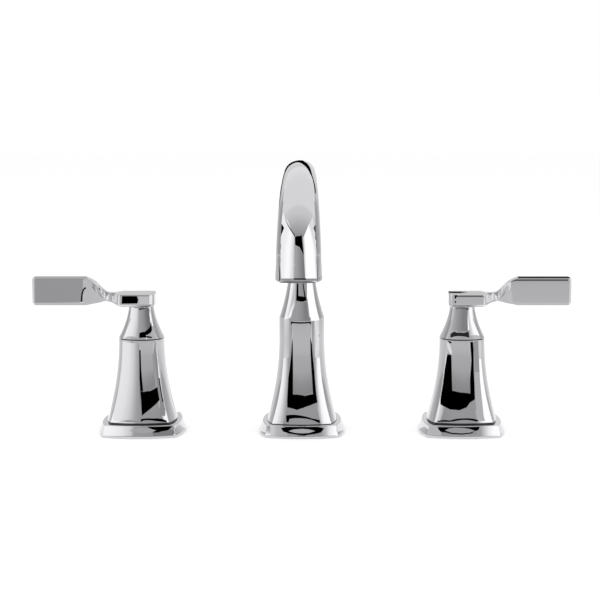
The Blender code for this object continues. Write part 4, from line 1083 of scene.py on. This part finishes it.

# reflections drawn with cards: how far in front of the unit's middle the card hangs, the outline that its
# reflection has on that piece, in pixels of the picture, and its brightness, or a fade between places
# across the unit
reflections = {
    "spout": {
        "body_dark": (0.038, [(292.5, 337.5), (293, 360), (293, 394.5), (305, 396), (313, 394.3),
            (312, 378), (310.3, 337.5), (312, 345), (314.3, 370), (316.3, 394), (317.5, 402.5),
            (310, 405.5), (303, 408), (297, 410), (292, 408.5), (287.3, 407.5), (287.2, 400),
            (288.3, 378), (290.6, 360)], 0.0),
        "foot_dark": (0.038, [(286.5, 422), (286, 415.5), (297, 415), (303, 416), (312, 418.5),
            (320, 420.5), (319.5, 423.5), (316, 421.5), (300, 418.3), (289.5, 419), (288.5, 422.5)], 0.0),
        "shoulder_line": (0.038, [(291, 324.8), (291, 321.4), (311, 321.4), (310.8, 324.8), (309, 323.2),
            (293, 323.2)], 0.0),
        "neck_dark": (0.020, [(296.2, 282), (306.8, 282), (306.6, 300.5), (304, 301.3), (301, 301.8),
            (299, 301.3), (296.2, 300.7)], 0.0),
        "neck_middle": (0.0195, [(298.5, 282), (304.7, 282), (304.4, 296.8), (301, 296.3), (298.5, 296)],
            [(-0.0035, 0.47), (0.005, 0.36)]),
        "neck_left": (0.019, [(288.6, 284), (294.5, 284), (294, 300), (291, 309), (288.5, 316),
            (283, 316), (285.5, 305)],
            [(-0.0345, 1.30), (-0.0325, 1.45), (-0.0195, 1.15), (-0.0175, 0.75)]),
        "neck_right": (0.019, [(306.9, 284), (313, 284), (316, 300), (320.5, 321), (311, 321),
            (308.3, 305), (307, 296)], 1.55),
        "neck_front": (0.0185, [(296.5, 302.3), (306.8, 302.3), (307.5, 310), (310, 320.8),
            (289.5, 320.8), (292.5, 311)], [(-0.0045, 0.50), (0.001, 0.40), (0.0035, 0.32)]),
        "outlet_left": (0.1334, [(283.2, 213.5), (288.5, 222), (294.8, 238), (295, 278.5), (281.2, 278.5),
            (281.8, 230)],
            [(-0.0115, 1.30), (-0.0085, 1.45), (-0.0065, 1.45), (-0.004, 1.10), (-0.0025, 0.65)]),
        "outlet_middle": (0.1332, [(294.8, 244), (300, 246), (303.5, 254), (305, 278.5), (294.5, 278.5)],
            [(-0.0015, 0.54), (0.003, 0.30)]),
        "outlet_right": (0.1334, [(312.5, 216), (308, 226), (303, 238), (304, 254), (305.3, 278.5),
            (317, 278.5), (315, 240)], [(0.004, 1.05), (0.0055, 1.58), (0.012, 1.50), (0.014, 1.10)]),
        "outlet_peak": (0.133, [(294.8, 237), (297, 236), (300, 236), (301.8, 234.8), (302.3, 242),
            (303.8, 255), (299.5, 247), (295.2, 245)], 0.0),
        "outlet_lip": (0.133, [(293.8, 278.2), (306, 278.4), (306, 279.8), (293.8, 279.6)], 0.0),
        "outlet_slope": (0.133, [(283, 211), (284.5, 213.5), (295.5, 235.5), (294.5, 236.5)], 0.16),
    },
    "spout_base": {
        "left": (0.030, [(272, 426.5), (284, 426.5), (286, 431), (288, 435.5), (270, 435.5)],
            [(-0.022, 0.90), (-0.018, 0.68), (-0.012, 0.62)]),
        "right": (0.030, [(320, 426.5), (333, 426.5), (337, 435.5), (318, 435.5), (321, 431)],
            [(0.0145, 0.50), (0.018, 0.75), (0.021, 1.20), (0.026, 1.50)]),
        "dark": (0.0296, [(281, 428), (290, 427), (315, 427), (324.2, 428.3), (321, 432.6), (314, 434.2),
            (305, 435.2), (296, 434.8), (289, 433.5), (283, 431.5)], 0.0),
        "middle": (0.0292, [(288.5, 431), (294, 429.4), (302, 428.9), (309, 429.4), (315, 431),
            (309, 433), (302, 433.4), (295, 432.9)], 0.60),
    },
    "left_body": {
        "pale": (0.026, [(122.5, 343), (139, 343), (139, 421), (114, 421), (116.5, 404), (120.5, 375)],
            [(-0.028, 1.20), (-0.017, 1.15), (-0.010, 0.95), (-0.003, 0.52), (-0.001, 0.50)]),
        "grey": (0.0285, [(154.5, 343), (157, 343), (157.6, 360), (159, 380), (162.5, 400), (165, 416),
            (160, 416), (159.5, 400), (156.5, 380), (155, 360)], 0.40),
        "right_edge": (0.028, [(156.8, 348), (158.2, 348), (159.8, 378), (163.5, 402), (162.2, 402),
            (158.4, 378)], 0.02),
        "corner_line": (0.038, [(139, 350), (140.6, 350), (141.3, 370), (143.2, 391.5), (140.3, 391),
            (139, 370)], 0.0),
        "hook": (0.038, [(143.2, 392), (150.5, 391), (158, 386.5), (159.8, 385), (161, 397.8),
            (141.9, 415.8), (141, 400), (140.3, 391)], 0.0),
        "foot_dark": (0.038, [(140.5, 421.8), (141, 419), (153, 418.6), (166.7, 420.2), (166, 421.2),
            (153, 420.5), (143.5, 420.5)], 0.0),
    },
    "left_base": {
        "pale": (0.030, [(104.5, 426.5), (131, 426.5), (131, 435.5), (103, 435.5)],
            [(-0.028, 1.40), (-0.021, 1.35), (-0.013, 1.20), (-0.0055, 0.86)]),
        "grey": (0.030, [(131, 426.5), (152, 426.5), (153, 435.5), (131, 435.5)],
            [(-0.0055, 0.80), (-0.0035, 0.50), (0.008, 0.45)]),
        "shade": (0.030, [(152, 426.5), (176, 426.5), (175, 435.5), (153, 435.5)], 0.31),
        "dark": (0.0296, [(146, 427.2), (173, 427), (168, 430.2), (161, 431.5), (159, 432.5),
            (153.5, 432.8), (152.5, 430), (150, 428.6)], 0.0),
        "middle": (0.0292, [(129.5, 430.5), (136, 428.6), (143, 428), (150, 428.6), (156, 430.5),
            (150, 432.6), (143, 433.2), (136, 432.6)], 0.55),
    },
    "right_body": {
        "dark": (0.029, [(447.5, 354), (451.4, 355), (452.4, 390.7), (460, 392.5), (470.4, 393.6),
            (470, 380), (471.4, 360), (470.3, 342), (473, 342), (473.6, 350), (474.3, 380), (475, 399.4),
            (470, 402.5), (466.5, 407.5), (459.3, 410.4), (450, 409.5), (440.4, 404.3), (441.7, 395),
            (444.2, 378)], 0.0),
        "upper_grey": (0.0285, [(473.2, 342), (477.8, 342), (479, 360), (479.6, 372), (475, 372),
            (474.2, 360)], 0.47),
        "lower_grey": (0.0285, [(475, 372), (479.6, 372), (480, 380), (482, 400), (483.5, 415),
            (485, 421), (478, 421), (476, 402), (475.2, 380)], 0.66),
        "glint": (0.0285, [(447.3, 342), (450.5, 346), (452.2, 352), (451.4, 355), (449, 352),
            (447.2, 346)], 1.05),
        "top_line": (0.038, [(447.5, 341.8), (452, 342), (451, 343.5), (448, 343.5)], 0.0),
        "foot_dark": (0.038, [(437.5, 420.5), (450, 420.4), (463, 418.4), (478, 420), (478, 421.5),
            (463, 420), (450, 421.8), (438, 421.2)], 0.0),
    },
    "right_base": {
        "grey": (0.030, [(429, 426.5), (439, 426.5), (442, 435.5), (429, 435.5)], 0.69),
        "pale": (0.030, [(480, 426.5), (497, 426.5), (499, 435.5), (476, 435.5)],
            [(0.012, 0.50), (0.019, 1.25), (0.024, 1.50)]),
        "dark": (0.0296, [(437.5, 427), (480, 427), (478.5, 430), (474, 431.5), (472, 433.5),
            (462, 434.8), (452, 434.2), (446, 432.6), (441, 432), (438.5, 429.5)], 0.0),
        "middle": (0.0292, [(445, 430.5), (449, 428.4), (455, 427.8), (464, 428), (470, 429),
            (475, 430.8), (470, 432.6), (462, 433.4), (452, 432.8)], 0.47),
    },
    "left_skirt": {
        "pale": (0.0155, [(129.8, 309), (138.5, 309), (139, 338.2), (123, 338.2), (126.8, 322)],
            [(-0.019, 1.30), (-0.0085, 1.20), (-0.0045, 0.95), (-0.0015, 0.56)]),
        "grey": (0.0155, [(138.5, 310), (149, 310), (150.5, 324), (150, 330), (139, 333)],
            [(-0.0015, 0.56), (0.004, 0.42), (0.008, 0.27), (0.0145, 0.22)]),
        "bright": (0.0155, [(149.3, 309), (151.8, 309), (154.3, 326), (151.9, 326)], 1.41),
        "dark": (0.0152, [(139.3, 333), (145, 331.5), (149.5, 327.5), (151, 322), (152, 330),
            (150.5, 333), (147, 335), (145.5, 336), (152, 337), (151.5, 338.4), (139.3, 338.2)], 0.0),
        "top_line": (0.0152, [(139, 308.6), (149.5, 308.6), (149.5, 310), (139, 310)], 0.02),
    },
    "right_skirt": {
        "left_grey": (0.0155, [(452, 310), (457, 310), (457, 331), (447.5, 331), (450, 322)],
            [(-0.026, 0.90), (-0.014, 0.60), (-0.007, 0.47)]),
        "middle_grey": (0.0155, [(457, 310), (467.2, 310), (468, 331.5), (457, 332)],
            [(-0.007, 0.47), (0.0, 0.33)]),
        "pale": (0.0155, [(468, 310), (473.5, 310), (478.5, 336), (470.5, 336), (468.8, 325)],
            [(0.0085, 0.90), (0.013, 1.50)]),
        "dark": (0.0152, [(450.5, 334), (454, 331.8), (458, 332.8), (464, 333), (468.5, 331.5),
            (469.5, 337.8), (450.5, 338)], 0.03),
        "top_line": (0.0152, [(456, 308.6), (468, 308.6), (468, 310), (456, 310)], 0.02),
    },
    "left_lever": {
        "hub_dark": (0.0125, [(122, 296.5), (137, 296.5), (138.3, 300), (137.3, 303.5), (121.5, 303.8)],
            0.0),
        "hub_grey": (0.0125, [(139, 297), (148.5, 297), (148.5, 304), (138.5, 304)], 0.77),
        "hub_bright": (0.0123, [(149.2, 296), (151.6, 296), (151.6, 304), (149.2, 304)], 1.25),
        "blade_grey": (0.0125, [(35.5, 280), (83, 280), (83, 302), (35.5, 302)], 0.46),
        "blade_root": (0.0125, [(83, 279.8), (92.5, 281), (93, 303), (83, 303)], 0.74),
        "blade_hook": (0.0123, [(80.6, 301.8), (81.2, 294), (82.6, 289.6), (85.5, 287), (86, 288.4),
            (84, 290.5), (82.6, 295), (82.2, 301.8)], 0.0),
    },
    "right_lever": {
        "hub_hook": (0.0125, [(454.7, 296.6), (456.3, 295.4), (457.3, 296.3), (456, 298.6), (454.8, 299)],
            0.0),
        "hub_mark": (0.0125, [(454.8, 301), (456.1, 301), (456.1, 302.8), (454.8, 302.8)], 0.0),
        "hub_edge": (0.0125, [(482.8, 296.4), (484.2, 296.4), (485, 298.4), (485, 302), (484.6, 300),
            (483.6, 298)], 0.0),
    },
}
for mirror, cards in reflections.items():
    for name, (distance, outline, shade) in cards.items():
        mirroredCard(mirror + "_" + name, mirror, distance, outline, shade)
print("reflections ready:", sum(len(cards) for cards in reflections.values()))

lampAt = {"place": (0.0, -0.5, 1.8), "tilt": 15.0, "width": 1.8, "depth": 1.2, "power": 6.0}
deselectAll()
bpy.ops.object.light_add(type="AREA", location=lampAt["place"],
                         rotation=(math.radians(lampAt["tilt"]), 0.0, 0.0))
softLamp = bpy.context.object
softLamp.data.shape = "RECTANGLE"
softLamp.data.size = lampAt["width"]
softLamp.data.size_y = lampAt["depth"]
softLamp.data.energy = lampAt["power"]
softLamp.visible_glossy = False
scene.view_settings.view_transform = "Standard"
print("studio ready")
